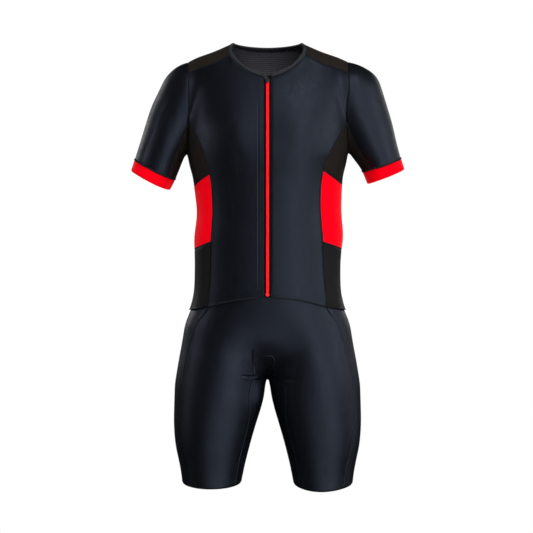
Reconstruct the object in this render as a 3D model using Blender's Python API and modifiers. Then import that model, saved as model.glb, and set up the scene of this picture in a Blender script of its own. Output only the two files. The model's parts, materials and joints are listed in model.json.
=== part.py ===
"""Short-sleeved triathlon suit with a full front zip, standing hollow as it is worn.

Units are metres, +Z up, the front faces -Y. The origin lies midway between the two points where
the suit rests on its wearer's shoulders beside the neck. Every cloth piece is the patch between
its own seams, laid on one smooth form and given a wall, so that neighbours share their seams.
"""

import functools
import math

import bmesh
import bpy
import numpy as np
from mathutils import Matrix

MM = 0.001

# Cloth layers, as distances out from the form: (inner face, outer face).
SHORTS_LAYER = (-0.5 * MM, 0.8 * MM)
JERSEY_LAYER = (2.6 * MM, 3.9 * MM)
CUFF_LAYER = (2.4 * MM, 4.3 * MM)
BINDING_LAYER = (2.6 * MM, 4.8 * MM)
ZIP_TAPE_LAYER = (1.2 * MM, 2.2 * MM)
ZIP_CHAIN_LAYER = (2.6 * MM, 4.8 * MM)
SEAT_PAD_LAYER = (-8.4 * MM, -4.4 * MM)
SEAM_GAP = 0.34 * MM

# Jersey: levels of the side panels, each a height at its seams and how far it sags between them.
RED_TOP, RED_TOP_SAG = -0.269, 0.021
RED_BOTTOM, RED_BOTTOM_SAG = -0.409, 0.015
HEM_CORNER, HEM_SIDE_SAG = -0.538, 0.008
HEM_FRONT, HEM_BACK = -0.5185, -0.544
ZIP_OPENING = 7.7 * MM  # from the middle line to each front's edge

# Sleeves and cuffs, measured down the arm.
CUFF_END = 0.1875
CUFF_WIDTH = 0.022
CUFF_DIP = 0.0035
GUSSET_TURN = 121  # degrees from the outside of the arm, through its front

# Shorts.
WAIST = -0.500
CROTCH = -0.675
LEG_SPLIT = -0.672  # where the front and back divide into legs, at the side seam
LEG_HEM = -0.897
LEG_HEM_DIP = 0.008
THIGH_TURN = 51.6  # degrees round the leg from its front or back to the gusset's seams, at the hem
SIDE_TURN = 42  # the same to the side panel's seams

CROTCH_RISE = 0.012  # how far above the gusset's front and back the middle lines start
GUSSET_SAG = 0.013

# Zip, along the front's middle line.
ZIP_TOP, ZIP_SLIDER, ZIP_STOP, ZIP_BOTTOM = -0.0765, -0.0895, -0.5125, -0.5172
ZIP_STOP_RADIUS, ZIP_STOP_EDGE, ZIP_STOP_SIDES = 3.4 * MM, 0.6 * MM, 20
ZIP_TAPE_WIDTH = 14 * MM
ZIP_CHAIN_WIDTH = 6.4 * MM
SLIDER_LENGTH, SLIDER_WIDTH, SLIDER_FRONT = 11 * MM, 8.4 * MM, 6.3 * MM
SLIDER_DEPTH = SLIDER_FRONT - ZIP_CHAIN_LAYER[0]
SLIDER_TAPER = 0.75
SLIDER_EDGE = 0.9 * MM
BRIDGE_RADIUS, BRIDGE_RISE, BRIDGE_REACH = 0.6 * MM, 2.6 * MM, 2.6 * MM
BRIDGE_FOOT, BRIDGE_POINTS = 0.7 * MM, 13
TAB_LENGTH, TAB_WIDTH, TAB_THICKNESS = 20.5 * MM, 6.6 * MM, 1.0 * MM
TAB_BAR = 1.0 * MM  # the eye's bar under the bridge
TAB_HINGE_RISE = 1.25 * MM
TAB_LEAN = math.radians(-30)
EYE_WIDTH, EYE_LENGTH = 4.4 * MM, 3.2 * MM
TAB_ROUND, EYE_ROUND = 0.4, 0.3  # corner radii as shares of the widths
CORNER_POINTS = 5

# How many quads run along each seam.
NECK_COLUMNS, YOKE_COLUMNS = 6, 5
LOWER_ROWS, RED_ROWS, MESH_ROWS = 5, 5, 4
SIDE_COLUMNS = 8
ARMHOLE_FRONT, ARMHOLE_YOKE, ARMHOLE_BACK = 5, 3, 8
SLEEVE_ROWS = 9
HIP_ROWS, LEG_ROWS = 9, 9
HIP_CROWD = 1.4
GROIN_COLUMNS, LEG_COLUMNS = 4, 7
GUSSET_COLUMNS = 8
ZIP_ROWS = 19

CURVE_POINTS = 41  # a curve is read at this many points before it is cut into quads
REACH = 0.30  # rays that look for the form start or end this far away
SAME_PLACE = 0.01 * MM


def make_table(names, rows):
    """A table of sections: named columns, a row for each section, read on smooth curves."""
    columns = np.array(sorted(rows), float).T
    knots = columns[0]
    steps = np.diff(knots)
    table = {}
    for name, values in zip(names.split()[1:], columns[1:]):
        slopes = np.diff(values) / steps
        bends = np.zeros(len(knots))
        for i in range(1, len(knots) - 1):
            before, after = slopes[i - 1], slopes[i]
            if before * after > 0:
                bends[i] = 2 * before * after / (before + after)
        bends[0], bends[-1] = slopes[0], slopes[-1]
        table[name] = (knots, values, bends)
    return table


def read(table, name, at):
    """The value of a table's column at the given places, on a curve that never overshoots its rows."""
    knots, values, bends = table[name]
    at = np.clip(np.asarray(at, float), knots[0], knots[-1])
    i = np.clip(np.searchsorted(knots, at) - 1, 0, len(knots) - 2)
    step = knots[i + 1] - knots[i]
    t = (at - knots[i]) / step
    return (
        (1 + 2 * t) * (1 - t) ** 2 * values[i]
        + t * (1 - t) ** 2 * step * bends[i]
        + t * t * (3 - 2 * t) * values[i + 1]
        - t * t * (1 - t) * step * bends[i + 1]
    )


# The form under the cloth, a general figure: level sections of the trunk. ridge is where the
# section is widest, front and back its reach along Y, square the exponent of its outline.
TRUNK = make_table(
    "height half_width front back ridge square",
    [
        (0.045, 0.054, -0.042, 0.052, 0.006, 2.1),
        (0.015, 0.059, -0.044, 0.054, 0.006, 2.1),
        (-0.002, 0.068, -0.047, 0.058, 0.006, 2.1),
        (-0.010, 0.085, -0.050, 0.063, 0.006, 2.1),
        (-0.018, 0.102, -0.052, 0.068, 0.006, 2.2),
        (-0.026, 0.123, -0.055, 0.074, 0.005, 2.2),
        (-0.034, 0.144, -0.058, 0.079, 0.004, 2.3),
        (-0.041, 0.158, -0.061, 0.083, 0.003, 2.3),
        (-0.055, 0.163, -0.067, 0.088, 0.002, 2.3),
        (-0.070, 0.164, -0.074, 0.093, 0.000, 2.4),
        (-0.100, 0.164, -0.088, 0.102, 0.000, 2.5),
        (-0.140, 0.164, -0.102, 0.110, 0.000, 2.5),
        (-0.190, 0.164, -0.113, 0.114, 0.000, 2.5),
        (-0.220, 0.163, -0.115, 0.113, 0.000, 2.4),
        (-0.240, 0.160, -0.115, 0.111, 0.000, 2.4),
        (-0.270, 0.151, -0.112, 0.105, 0.000, 2.4),
        (-0.300, 0.146, -0.109, 0.100, 0.000, 2.3),
        (-0.350, 0.141, -0.105, 0.091, 0.000, 2.3),
        (-0.400, 0.146, -0.103, 0.087, 0.000, 2.3),
        (-0.450, 0.145, -0.102, 0.089, 0.000, 2.3),
        (-0.500, 0.146, -0.102, 0.096, 0.000, 2.3),
        (-0.535, 0.150, -0.100, 0.103, 0.000, 2.3),
        (-0.568, 0.155, -0.096, 0.108, 0.000, 2.3),
        (-0.600, 0.156, -0.088, 0.108, 0.000, 2.3),
        (-0.625, 0.146, -0.075, 0.100, 0.000, 2.2),
        (-0.650, 0.110, -0.056, 0.082, 0.000, 2.1),
        (-0.668, 0.060, -0.034, 0.056, 0.000, 2.0),
        (-0.680, 0.008, -0.008, 0.012, 0.000, 2.0),
    ],
)

# Level sections of one leg, centre_x off the middle line.
LEG = make_table(
    "height centre_x half_width front back",
    [
        (-0.515, 0.050, 0.050, -0.050, 0.050),
        (-0.560, 0.068, 0.078, -0.078, 0.092),
        (-0.600, 0.081, 0.086, -0.084, 0.102),
        (-0.633, 0.088, 0.090, -0.087, 0.104),
        (-0.666, 0.094, 0.090, -0.088, 0.102),
        (-0.700, 0.099, 0.090, -0.087, 0.099),
        (-0.732, 0.102, 0.088, -0.085, 0.095),
        (-0.765, 0.107, 0.084, -0.081, 0.090),
        (-0.797, 0.111, 0.079, -0.077, 0.085),
        (-0.830, 0.113, 0.073, -0.072, 0.079),
        (-0.863, 0.113, 0.066, -0.066, 0.073),
        (-0.896, 0.114, 0.060, -0.061, 0.068),
        (-0.950, 0.115, 0.055, -0.057, 0.063),
    ],
)

# One arm: sections square to a straight line down from the shoulder, leaning outward.
ARM_START = (0.163, 0.002, -0.103)
ARM_LEAN = math.radians(23.5)
ARM = make_table(
    "along outer inner half_depth",
    [
        (-0.001, 0.057, 0.057, 0.057),
        (0.030, 0.058, 0.056, 0.058),
        (0.060, 0.055, 0.052, 0.057),
        (0.100, 0.050, 0.046, 0.056),
        (0.118, 0.048, 0.0415, 0.055),
        (0.155, 0.045, 0.038, 0.051),
        (0.190, 0.042, 0.034, 0.048),
        (0.240, 0.040, 0.032, 0.046),
    ],
)

# Under the arm the cloth lies closer to the form, which keeps its two sides clear of each other.
ARMPIT = (0.166, 0.0, -0.222)
ARMPIT_TUCK, ARMPIT_TUCK_REACH = 2.3 * MM, 0.045

# The armhole is a loop round a point inside the shoulder. turn runs from its top over its front,
# across is how far out the loop lies there.
ARMHOLE_CENTRE = (0.002, -0.130)
ARMHOLE = make_table(
    "turn across",
    [
        (0, 0.1620),
        (35, 0.1620),
        (65, 0.1620),
        (95, 0.1590),
        (125, 0.1595),
        (150, 0.1615),
        (180, 0.1660),
    ],
)
YOKE_TURN, UNDERARM_TURN = 35, 125.5

# Round the neck from the front, in degrees: heights of the bound edge and of the binding's seam.
NECK = make_table(
    "turn edge seam",
    [
        (0, -0.0744, -0.0807),
        (9, -0.0709, -0.0788),
        (18, -0.0665, -0.0745),
        (27, -0.0618, -0.0685),
        (37, -0.0534, -0.0590),
        (45, -0.0431, -0.0495),
        (52, -0.0326, -0.0395),
        (61, -0.0201, -0.0260),
        (68, -0.0120, -0.0165),
        (85, -0.0018, -0.0055),
        (102, 0.0003, -0.0042),
        (130, -0.0013, -0.0068),
        (151, -0.0036, -0.0098),
        (180, -0.0050, -0.0115),
    ],
)
YOKE_NECK_TURN, RIDGE_NECK_TURN = 57.4, 84.5

# The yoke's seam across the front of the shoulder.
YOKE = make_table(
    "across height",
    [(0.0771, -0.0320), (0.102, -0.0462), (0.130, -0.0551), (0.162, -0.0667)],
)

# The jersey's front side seam, as degrees round the trunk from the front; the back one mirrors it.
SIDE_SEAM = make_table(
    "height turn",
    [
        (-0.166, 72.7),
        (-0.199, 62.5),
        (-0.230, 55.8),
        (-0.269, 52.9),
        (-0.317, 53.6),
        (-0.353, 54.3),
        (-0.409, 55.8),
        (-0.485, 57.4),
        (-0.538, 58.7),
    ],
)

# Seams of the shorts, front and back alike, as distances from the middle line.
SHORTS_SEAMS = make_table(
    "height side thigh",
    [
        (-0.490, 0.1115, 0.000),
        (-0.538, 0.1166, 0.000),
        (-0.566, 0.1346, 0.000),
        (-0.594, 0.1467, 0.000),
        (-0.627, 0.1590, 0.000),
        (-0.667, 0.1677, 0.022),
        (-0.687, 0.1708, 0.030),
        (-0.716, 0.1740, 0.0385),
        (-0.751, 0.1748, 0.0395),
        (-0.784, 0.1735, 0.0440),
        (-0.827, 0.1680, 0.0535),
        (-0.863, 0.1585, 0.0605),
        (-0.900, 0.1530, 0.0660),
    ],
)
# The pad inside the seat: its half width along the cloth, at degrees forward of straight down
# from a point inside the crotch.
SEAT_PAD = make_table(
    "turn half_width",
    [(-78, 0.040), (-62, 0.052), (-48, 0.048), (-30, 0.038), (-10, 0.030), (35, 0.0225), (58, 0.0225)],
)
PAD_CENTRE = (0.010, -0.600)
PAD_REACH = 0.055
PAD_ROWS, PAD_COLUMNS = 15, 5

THIGH_TOP = -0.687
GROIN_FRONT_TURN, GROIN_BACK_TURN = 22, -30
CROTCH_BLEND = 0.014
HIP_BLEND = 0.022
ARMPIT_BLEND = 0.010
NORMAL_REACH = 2.5 * MM


def trunk_field(x, y, z):
    half, ridge = read(TRUNK, "half_width", z), read(TRUNK, "ridge", z)
    reach_y = np.where(y < ridge, ridge - read(TRUNK, "front", z), read(TRUNK, "back", z) - ridge)
    power = read(TRUNK, "square", z)
    share = (np.abs(x / half) ** power + np.abs((y - ridge) / reach_y) ** power) ** (1 / power)
    return (share - 1) * np.minimum(half, reach_y) + np.maximum(0, CROTCH - z)


def leg_field(x, y, z):
    half, centre = read(LEG, "half_width", z), read(LEG, "centre_x", z)
    reach_y = np.where(y < 0, -read(LEG, "front", z), read(LEG, "back", z))
    share = np.hypot((x - centre) / half, y / reach_y)
    above = np.maximum(0, z - LEG["front"][0][-1])
    return (share - 1) * np.minimum(half, reach_y) + above


def arm_field(x, y, z):
    dx, dy, dz = x - ARM_START[0], y - ARM_START[1], z - ARM_START[2]
    along = dx * math.sin(ARM_LEAN) - dz * math.cos(ARM_LEAN)
    side = dx * math.cos(ARM_LEAN) + dz * math.sin(ARM_LEAN)
    half = np.where(side > 0, read(ARM, "outer", along), read(ARM, "inner", along))
    depth = read(ARM, "half_depth", along)
    share = np.sqrt((side / half) ** 2 + (dy / depth) ** 2 + (np.minimum(0, along) / half) ** 2)
    return (share - 1) * half


def melt(a, b, width):
    """The smooth union of two fields, rounding the corner between them over the width."""
    near = np.maximum(width - np.abs(a - b), 0) / width
    return np.minimum(a, b) - near * near * width / 4


def form_field(points):
    """Negative inside the form that the suit fits, zero on it and positive outside."""
    x, y, z = points[..., 0], points[..., 1], points[..., 2]
    legs = melt(leg_field(x, y, z), leg_field(-x, y, z), CROTCH_BLEND)
    body = melt(trunk_field(x, y, z), legs, HIP_BLEND)
    return melt(body, arm_field(np.abs(x), y, z), ARMPIT_BLEND)


def form_slope(points, step=0.2 * MM):
    """The field's gradient, which points straight out of the form."""
    slopes = []
    for axis in np.eye(3):
        slopes.append(form_field(points + axis * step) - form_field(points - axis * step))
    return np.stack(slopes, -1) / (2 * step)


def form_normal(points):
    """Which way is out, evened over a few millimetres where the form turns sharply."""
    slope = form_slope(points, NORMAL_REACH)
    return slope / np.linalg.norm(slope, axis=-1, keepdims=True)


def settle(points, rounds=25, most=8 * MM):
    """Moves points straight onto the form, a little at a time."""
    points = np.array(points, float)
    for _ in range(rounds):
        slope = form_slope(points)
        steepness = np.linalg.norm(slope, axis=-1)
        move = -form_field(points) / steepness
        points += slope / steepness[..., None] * np.clip(move, -most, most)[..., None]
    return points


def cast(origins, directions, far, march=3 * MM):
    """Where rays first cross the form, from inside or from outside."""
    origins, directions = np.atleast_2d(origins), np.atleast_2d(directions)
    origins, directions = np.broadcast_arrays(origins.astype(float), directions.astype(float))
    directions = directions / np.linalg.norm(directions, axis=1, keepdims=True)
    stations = np.arange(0, far, march)
    rays = origins[:, None, :] + stations[None, :, None] * directions[:, None, :]
    inside = form_field(rays) < 0
    crossed = inside != inside[:, :1]
    near = stations[np.argmax(crossed, axis=1) - 1]
    low, high = near, near + march
    for _ in range(30):
        middle = (low + high) / 2
        same = (form_field(origins + middle[:, None] * directions) < 0) == inside[:, 0]
        low, high = np.where(same, middle, low), np.where(same, high, middle)
    return origins + low[:, None] * directions


def stack(x, y, z):
    return np.stack(np.broadcast_arrays(x, y, z), -1).astype(float)


def on_front(x, z):
    """The form's point straight behind this place, from the front."""
    return cast(stack(x, -REACH, z), (0, 1, 0), REACH)


def on_back(x, z):
    return cast(stack(x, REACH, z), (0, -1, 0), REACH)


def on_top(x, y):
    return cast(stack(x, y, REACH / 2), (0, 0, -1), REACH)


def round_trunk(height, turn):
    """The point at a height, that many degrees round the trunk from the front towards +X."""
    turn = np.radians(turn)
    return cast(stack(0, 0, height), stack(np.sin(turn), -np.cos(turn), 0), REACH)


def round_neck(turn, line):
    return round_trunk(read(NECK, line, turn), turn)


def round_armhole(turn):
    """The armhole's point that many degrees from its top over its front."""
    across = read(ARMHOLE, "across", 180 - np.abs(180 - np.abs(turn)))
    turn = np.radians(turn)
    return cast(stack(across, *ARMHOLE_CENTRE), stack(0, -np.sin(turn), np.cos(turn)), REACH)


def round_arm(along, turn):
    """The point that far down the arm, that many degrees from its outer side over its front."""
    lean, turn = ARM_LEAN, np.radians(turn)
    axis = stack(
        ARM_START[0] + along * math.sin(lean), ARM_START[1], ARM_START[2] - along * math.cos(lean)
    )
    side = stack(np.cos(turn) * math.cos(lean), -np.sin(turn), np.cos(turn) * math.sin(lean))
    return cast(axis, side, REACH)


def round_leg(height, turn):
    """The point at a height, that many degrees round the leg from its front over its outer side."""
    turn = np.radians(turn)
    axis = stack(read(LEG, "centre_x", height), 0, height)
    return cast(axis, stack(np.sin(turn), -np.cos(turn), 0), REACH)


def round_groin(turn):
    """The point under the middle of the trunk, that many degrees forward of straight down."""
    turn = math.radians(turn)
    return cast(stack(0, 0, CROTCH + 0.06), stack(0, -math.sin(turn), -math.cos(turn)), REACH)


def seam(points, count, crowd=1.0):
    """A line of stitches on the form: steps along these points, with its ends kept.

    The steps are equal, or shorter towards the start where crowd is above 1.
    """
    points = np.asarray(points, float)
    lengths = np.linalg.norm(np.diff(points, axis=0), axis=1)
    places = np.concatenate([[0], np.cumsum(lengths)])
    steps = places[-1] * np.linspace(0, 1, count + 1) ** crowd
    line = np.stack([np.interp(steps, places, points[:, axis]) for axis in range(3)], -1)
    line[1:-1] = settle(line[1:-1])
    return line


def joined(*lines):
    """Seams that follow each other, as one line without the points they share."""
    return np.concatenate([lines[0]] + [line[1:] for line in lines[1:]])


def between(start, end, count):
    """The straight run between two points, laid on the form."""
    share = np.linspace(0, 1, CURVE_POINTS)[:, None]
    points = np.asarray(start) * (1 - share) + np.asarray(end) * share
    points[1:-1] = settle(points[1:-1])
    return seam(points, count)


def shares(line):
    """How far along a line each of its points is, from 0 to 1."""
    places = np.concatenate([[0], np.cumsum(np.linalg.norm(np.diff(line, axis=0), axis=1))])
    return places / places[-1]


def fill(bottom, top, left, right, even_rounds=3):
    """The cloth between four seams, as rows of points on the form from the bottom seam upwards."""
    u = (shares(bottom) + shares(top))[None, :, None] / 2
    v = (shares(left) + shares(right))[:, None, None] / 2
    rows = (1 - v) * bottom[None] + v * top[None] + (1 - u) * left[:, None] + u * right[:, None]
    rows -= (1 - u) * (1 - v) * bottom[0] + u * (1 - v) * bottom[-1]
    rows -= (1 - u) * v * top[0] + u * v * top[-1]
    rows[1:-1, 1:-1] = settle(rows[1:-1, 1:-1])
    for _ in range(even_rounds):
        beside = (rows[1:-1, :-2] + rows[1:-1, 2:] + rows[:-2, 1:-1] + rows[2:, 1:-1]) / 4
        rows[1:-1, 1:-1] = settle((rows[1:-1, 1:-1] + beside) / 2, rounds=6)
    return rows


def mirrored(rows):
    return rows * (-1, 1, 1)


# The seams of the wearer's left side (+X). Those between fronts and backs run upwards.
# A seam that several pieces share is worked out once and kept.


def side_seam(low, high, count, back=False):
    heights = np.linspace(low, high, CURVE_POINTS)
    turn = read(SIDE_SEAM, "turn", heights)
    return seam(round_trunk(heights, 180 - turn if back else turn), count)


def side_seam_to_armhole(back=False):
    corner = round_armhole(-UNDERARM_TURN if back else UNDERARM_TURN)
    heights = np.linspace(RED_TOP, corner[0][2], CURVE_POINTS)
    turn = read(SIDE_SEAM, "turn", heights)
    points = round_trunk(heights, 180 - turn if back else turn)
    return seam(np.concatenate([points[:-1], corner]), MESH_ROWS)


def side_level(height, sag):
    """Round the side from the front seam to the back one, sagging between them."""
    share = np.linspace(0, 1, CURVE_POINTS)
    start = read(SIDE_SEAM, "turn", height)
    turn = start + (180 - 2 * start) * share
    return seam(round_trunk(height - sag * np.sin(np.pi * share), turn), SIDE_COLUMNS)


@functools.cache
def neck_runs(line="seam"):
    """Round the neck from the zip: to the yoke's seam, to the ridge of the shoulder, to the back."""
    zip_turn = math.degrees(math.atan2(ZIP_OPENING, -round_neck(0, line)[0][1]))
    turns = (zip_turn, YOKE_NECK_TURN, RIDGE_NECK_TURN, 180)
    counts = (NECK_COLUMNS, ARMHOLE_YOKE, NECK_COLUMNS)
    return [
        seam(round_neck(np.linspace(turns[i], turns[i + 1], CURVE_POINTS), line), counts[i]) for i in range(3)
    ]


def yoke_seam():
    neck, armhole = round_neck(YOKE_NECK_TURN, "seam"), round_armhole(YOKE_TURN)
    across = np.linspace(neck[0][0], armhole[0][0], CURVE_POINTS)
    points = on_front(across, read(YOKE, "height", across))
    return seam(np.concatenate([neck, points[1:-1], armhole]), YOKE_COLUMNS)


def shoulder_ridge():
    neck, armhole = round_neck(RIDGE_NECK_TURN, "seam")[0], round_armhole(0)[0]
    share = np.linspace(0, 1, CURVE_POINTS)
    points = on_top(neck[0] + (armhole[0] - neck[0]) * share, neck[1] + (armhole[1] - neck[1]) * share)
    return seam(np.concatenate([[neck], points[1:-1], [armhole]]), YOKE_COLUMNS)


def hem_line(middle, back=False):
    """The jersey's hem from near the middle line to the side seam, lowest at its corner."""
    turn = read(SIDE_SEAM, "turn", HEM_CORNER)
    corner = round_trunk(HEM_CORNER, 180 - turn if back else turn)
    start = 0 if back else ZIP_OPENING
    across = np.linspace(start, corner[0][0], CURVE_POINTS)
    heights = middle + (HEM_CORNER - middle) * (across / corner[0][0]) ** 2
    points = (on_back if back else on_front)(across, heights)
    return seam(np.concatenate([points[:-1], corner]), NECK_COLUMNS + YOKE_COLUMNS)


def cuff_ring(along, start, end, count):
    """Round the arm that far down it, dipping at the front."""
    turn = np.linspace(start, end, CURVE_POINTS)
    return seam(round_arm(along + CUFF_DIP * np.sin(np.radians(turn)), turn), count)


def gusset_seam(back=False):
    """Up the arm from the cuff to where the armhole meets the side seam."""
    sign = -1 if back else 1
    corner = round_armhole(sign * UNDERARM_TURN)
    dx, dy, dz = (corner[0] - ARM_START).tolist()
    along = dx * math.sin(ARM_LEAN) - dz * math.cos(ARM_LEAN)
    turn = math.degrees(math.atan2(-dy, dx * math.cos(ARM_LEAN) + dz * math.sin(ARM_LEAN)))
    cuff = CUFF_END - CUFF_WIDTH + sign * CUFF_DIP * math.sin(math.radians(GUSSET_TURN))
    turns = np.linspace(sign * GUSSET_TURN, turn, CURVE_POINTS)
    points = round_arm(np.linspace(cuff, along, CURVE_POINTS), turns)
    return seam(np.concatenate([points[:-1], corner]), SLEEVE_ROWS)


def leg_hem(turn):
    return round_leg(LEG_HEM - LEG_HEM_DIP * np.cos(np.radians(turn)), turn)


def leg_hem_line(start, end, count):
    return seam(leg_hem(np.linspace(start, end, CURVE_POINTS)), count)


def shorts_seam(column, low, high, count, back=False, hem_turn=None, crowd=1.0):
    """A seam of the shorts between two heights, starting on the leg's hem if its turn is given."""
    heights = np.linspace(low, high, CURVE_POINTS)
    points = (on_back if back else on_front)(read(SHORTS_SEAMS, column, heights), heights)
    if hem_turn is not None:
        points = np.concatenate([leg_hem(180 - hem_turn if back else hem_turn), points[1:]])
    return seam(points, count, crowd)


def groin_seam(back=False):
    """The gusset's seam from under the middle to the top of the thigh."""
    face = on_back if back else on_front
    middle = round_groin(GROIN_BACK_TURN if back else GROIN_FRONT_TURN)[0]
    return between(middle, face(read(SHORTS_SEAMS, "thigh", THIGH_TOP), THIGH_TOP)[0], GROIN_COLUMNS)


def split_line(back=False):
    """Across the top of a leg, from the gusset to the side seam."""
    face = on_back if back else on_front
    inner, outer = read(SHORTS_SEAMS, "thigh", THIGH_TOP), read(SHORTS_SEAMS, "side", LEG_SPLIT)
    across = np.linspace(inner, outer, CURVE_POINTS)
    return seam(face(across, np.linspace(THIGH_TOP, LEG_SPLIT, CURVE_POINTS)), LEG_COLUMNS)


def waist_line(start, end, count):
    return seam(round_trunk(WAIST, np.linspace(start, end, CURVE_POINTS)), count)


# Walls of cloth.


def facing_out(rows):
    """Blocks run the same way round as seen from outside, so that their faces agree."""
    i, j = rows.shape[0] // 2, rows.shape[1] // 2
    along, up = rows[i, j] - rows[i, j - 1], rows[i, j] - rows[i - 1, j]
    return rows if np.dot(np.cross(along, up), form_normal(rows[i, j])) > 0 else rows[:, ::-1]


def quads_of(blocks):
    """The blocks of one piece as shared points and faces."""
    points, faces, known = [], [], {}
    for rows in map(facing_out, blocks):
        index = np.zeros(rows.shape[:2], int)
        for place in np.ndindex(index.shape):
            key = tuple(np.round(rows[place] / SAME_PLACE).astype(int))
            if key not in known:
                known[key] = len(points)
                points.append(rows[place])
            index[place] = known[key]
        for i in range(index.shape[0] - 1):
            for j in range(index.shape[1] - 1):
                corners = index[i, j], index[i, j + 1], index[i + 1, j + 1], index[i + 1, j]
                faces.append(tuple(map(int, corners)))
    return np.array(points), faces


def edge_steps(faces):
    """The open edges, each from a point to the next with the cloth on its left."""
    steps = {(face[i], face[(i + 1) % 4]) for face in faces for i in range(4)}
    return [(a, b) for a, b in sorted(steps) if (b, a) not in steps]


def drawn_in(points, normals, steps, width):
    """The same points with the open edges moved inwards by a width, mitred at corners."""
    after = dict(steps)
    before = {b: a for a, b in steps}
    moved = points.copy()
    for i, ahead in after.items():
        sides = []
        for step in (points[i] - points[before[i]], points[ahead] - points[i]):
            side = np.cross(normals[i], step)
            sides.append(side / np.linalg.norm(side))
        share = max(0.3, 1 + float(np.dot(*sides)))
        moved[i] += width * (sides[0] + sides[1]) / share
    return moved


def make_object(name, points, faces, material, location=(0, 0, 0)):
    mesh = bpy.data.meshes.new(name)
    mesh.from_pydata(points.tolist(), [], faces)
    mesh.materials.append(material)
    mesh.validate()
    thing = bpy.data.objects.new(name, mesh)
    thing.location = location
    return thing


def rim_faces(points, steps, count):
    """The wall's narrow faces along its open edges, split the same way on both sides of a seam."""
    faces = []
    for a, b in steps:
        if (abs(points[a][0]), *points[a][1:]) < (abs(points[b][0]), *points[b][1:]):
            faces += [(a, b, b + count), (a, b + count, a + count)]
        else:
            faces += [(a, b, a + count), (b, b + count, a + count)]
    return faces


def wall(name, blocks, layer, material):
    """Cloth through these blocks, from its inner to its outer distance off the form."""
    points, faces = quads_of(blocks)
    normals = form_normal(points)
    steps = edge_steps(faces)
    sheet = drawn_in(points, normals, steps, SEAM_GAP / 2)
    from_armpit = np.linalg.norm(np.abs(points) * (1, 0, 0) + points * (0, 1, 1) - ARMPIT, axis=1)
    sheet -= normals * ARMPIT_TUCK * np.exp(-((from_armpit / ARMPIT_TUCK_REACH) ** 2))[:, None]
    count = len(points)
    walls = [tuple(i + count for i in face) for face in faces]
    walls += [tuple(reversed(face)) for face in faces] + rim_faces(points, steps, count)
    ends = np.concatenate([sheet + normals * layer[0], sheet + normals * layer[1]])
    thing = make_object(name, ends, walls, material)
    thing.data.shade_smooth()
    return thing


def add_pair(name, blocks, layer, material):
    """A piece of the wearer's left side and its mirror image on the right."""
    return [
        wall(f"{name}_left", blocks, layer, material),
        wall(f"{name}_right", [mirrored(rows) for rows in blocks], layer, material),
    ]


def add_whole(name, blocks, layer, material):
    """A piece that lies across the middle, from the blocks of its left half."""
    return [wall(name, blocks + [mirrored(rows) for rows in blocks], layer, material)]


# The garment's pieces.


@functools.cache
def armhole_parts():
    """The armhole in four runs: up the front, over the top, down the back, and under the arm."""
    runs = (
        (UNDERARM_TURN, YOKE_TURN, ARMHOLE_FRONT),
        (YOKE_TURN, 0, ARMHOLE_YOKE),
        (0, -UNDERARM_TURN, ARMHOLE_BACK),
        (UNDERARM_TURN, 360 - UNDERARM_TURN, SIDE_COLUMNS),
    )
    return [seam(round_armhole(np.linspace(start, end, CURVE_POINTS)), count) for start, end, count in runs]


@functools.cache
def side_seams(back=False):
    """A side seam in its three runs upwards: lower, red and mesh."""
    return [
        side_seam(HEM_CORNER, RED_BOTTOM, LOWER_ROWS, back),
        side_seam(RED_BOTTOM, RED_TOP, RED_ROWS, back),
        side_seam_to_armhole(back),
    ]


def add_sides(lycra, mesh, red):
    levels = [
        side_level(HEM_CORNER, HEM_SIDE_SAG),
        side_level(RED_BOTTOM, RED_BOTTOM_SAG),
        side_level(RED_TOP, RED_TOP_SAG),
        armhole_parts()[3],
    ]
    names = ("side_lower", "side_red", "side_mesh")
    pieces = []
    for i, cloth in enumerate((lycra, red, mesh)):
        block = fill(levels[i], levels[i + 1], side_seams()[i], side_seams(back=True)[i])
        pieces += add_pair(names[i], [block], JERSEY_LAYER, cloth)
    return pieces


def add_fronts(lycra):
    outer = joined(*side_seams(), armhole_parts()[0])
    collar = neck_runs()[0]
    hem = hem_line(HEM_FRONT)
    heights = np.linspace(hem[0][2], collar[0][2], CURVE_POINTS)[1:-1]
    edge = np.concatenate([hem[:1], on_front(ZIP_OPENING, heights), collar[:1]])
    front = fill(hem, joined(collar, yoke_seam()), seam(edge, len(outer) - 1), outer)
    return add_pair("front", [front], JERSEY_LAYER, lycra)


def add_back(mesh):
    """One piece, over both shoulders to the yoke seams on the chest."""
    yoke_side, back_side = armhole_parts()[1:3]
    outer = joined(*side_seams(back=True), back_side[::-1])
    hem, ridge = hem_line(HEM_BACK, back=True), shoulder_ridge()
    neck, collar = (run[::-1] for run in neck_runs()[1:])
    heights = np.linspace(HEM_BACK, collar[0][2], CURVE_POINTS)[1:-1]
    middle = np.concatenate([hem[:1], on_back(0, heights), collar[:1]])
    back = fill(hem, joined(collar, ridge), seam(middle, len(outer) - 1), outer)
    shoulder = fill(ridge, yoke_seam(), neck, yoke_side[::-1])
    return add_whole("back", [back, shoulder], JERSEY_LAYER, mesh)


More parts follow.
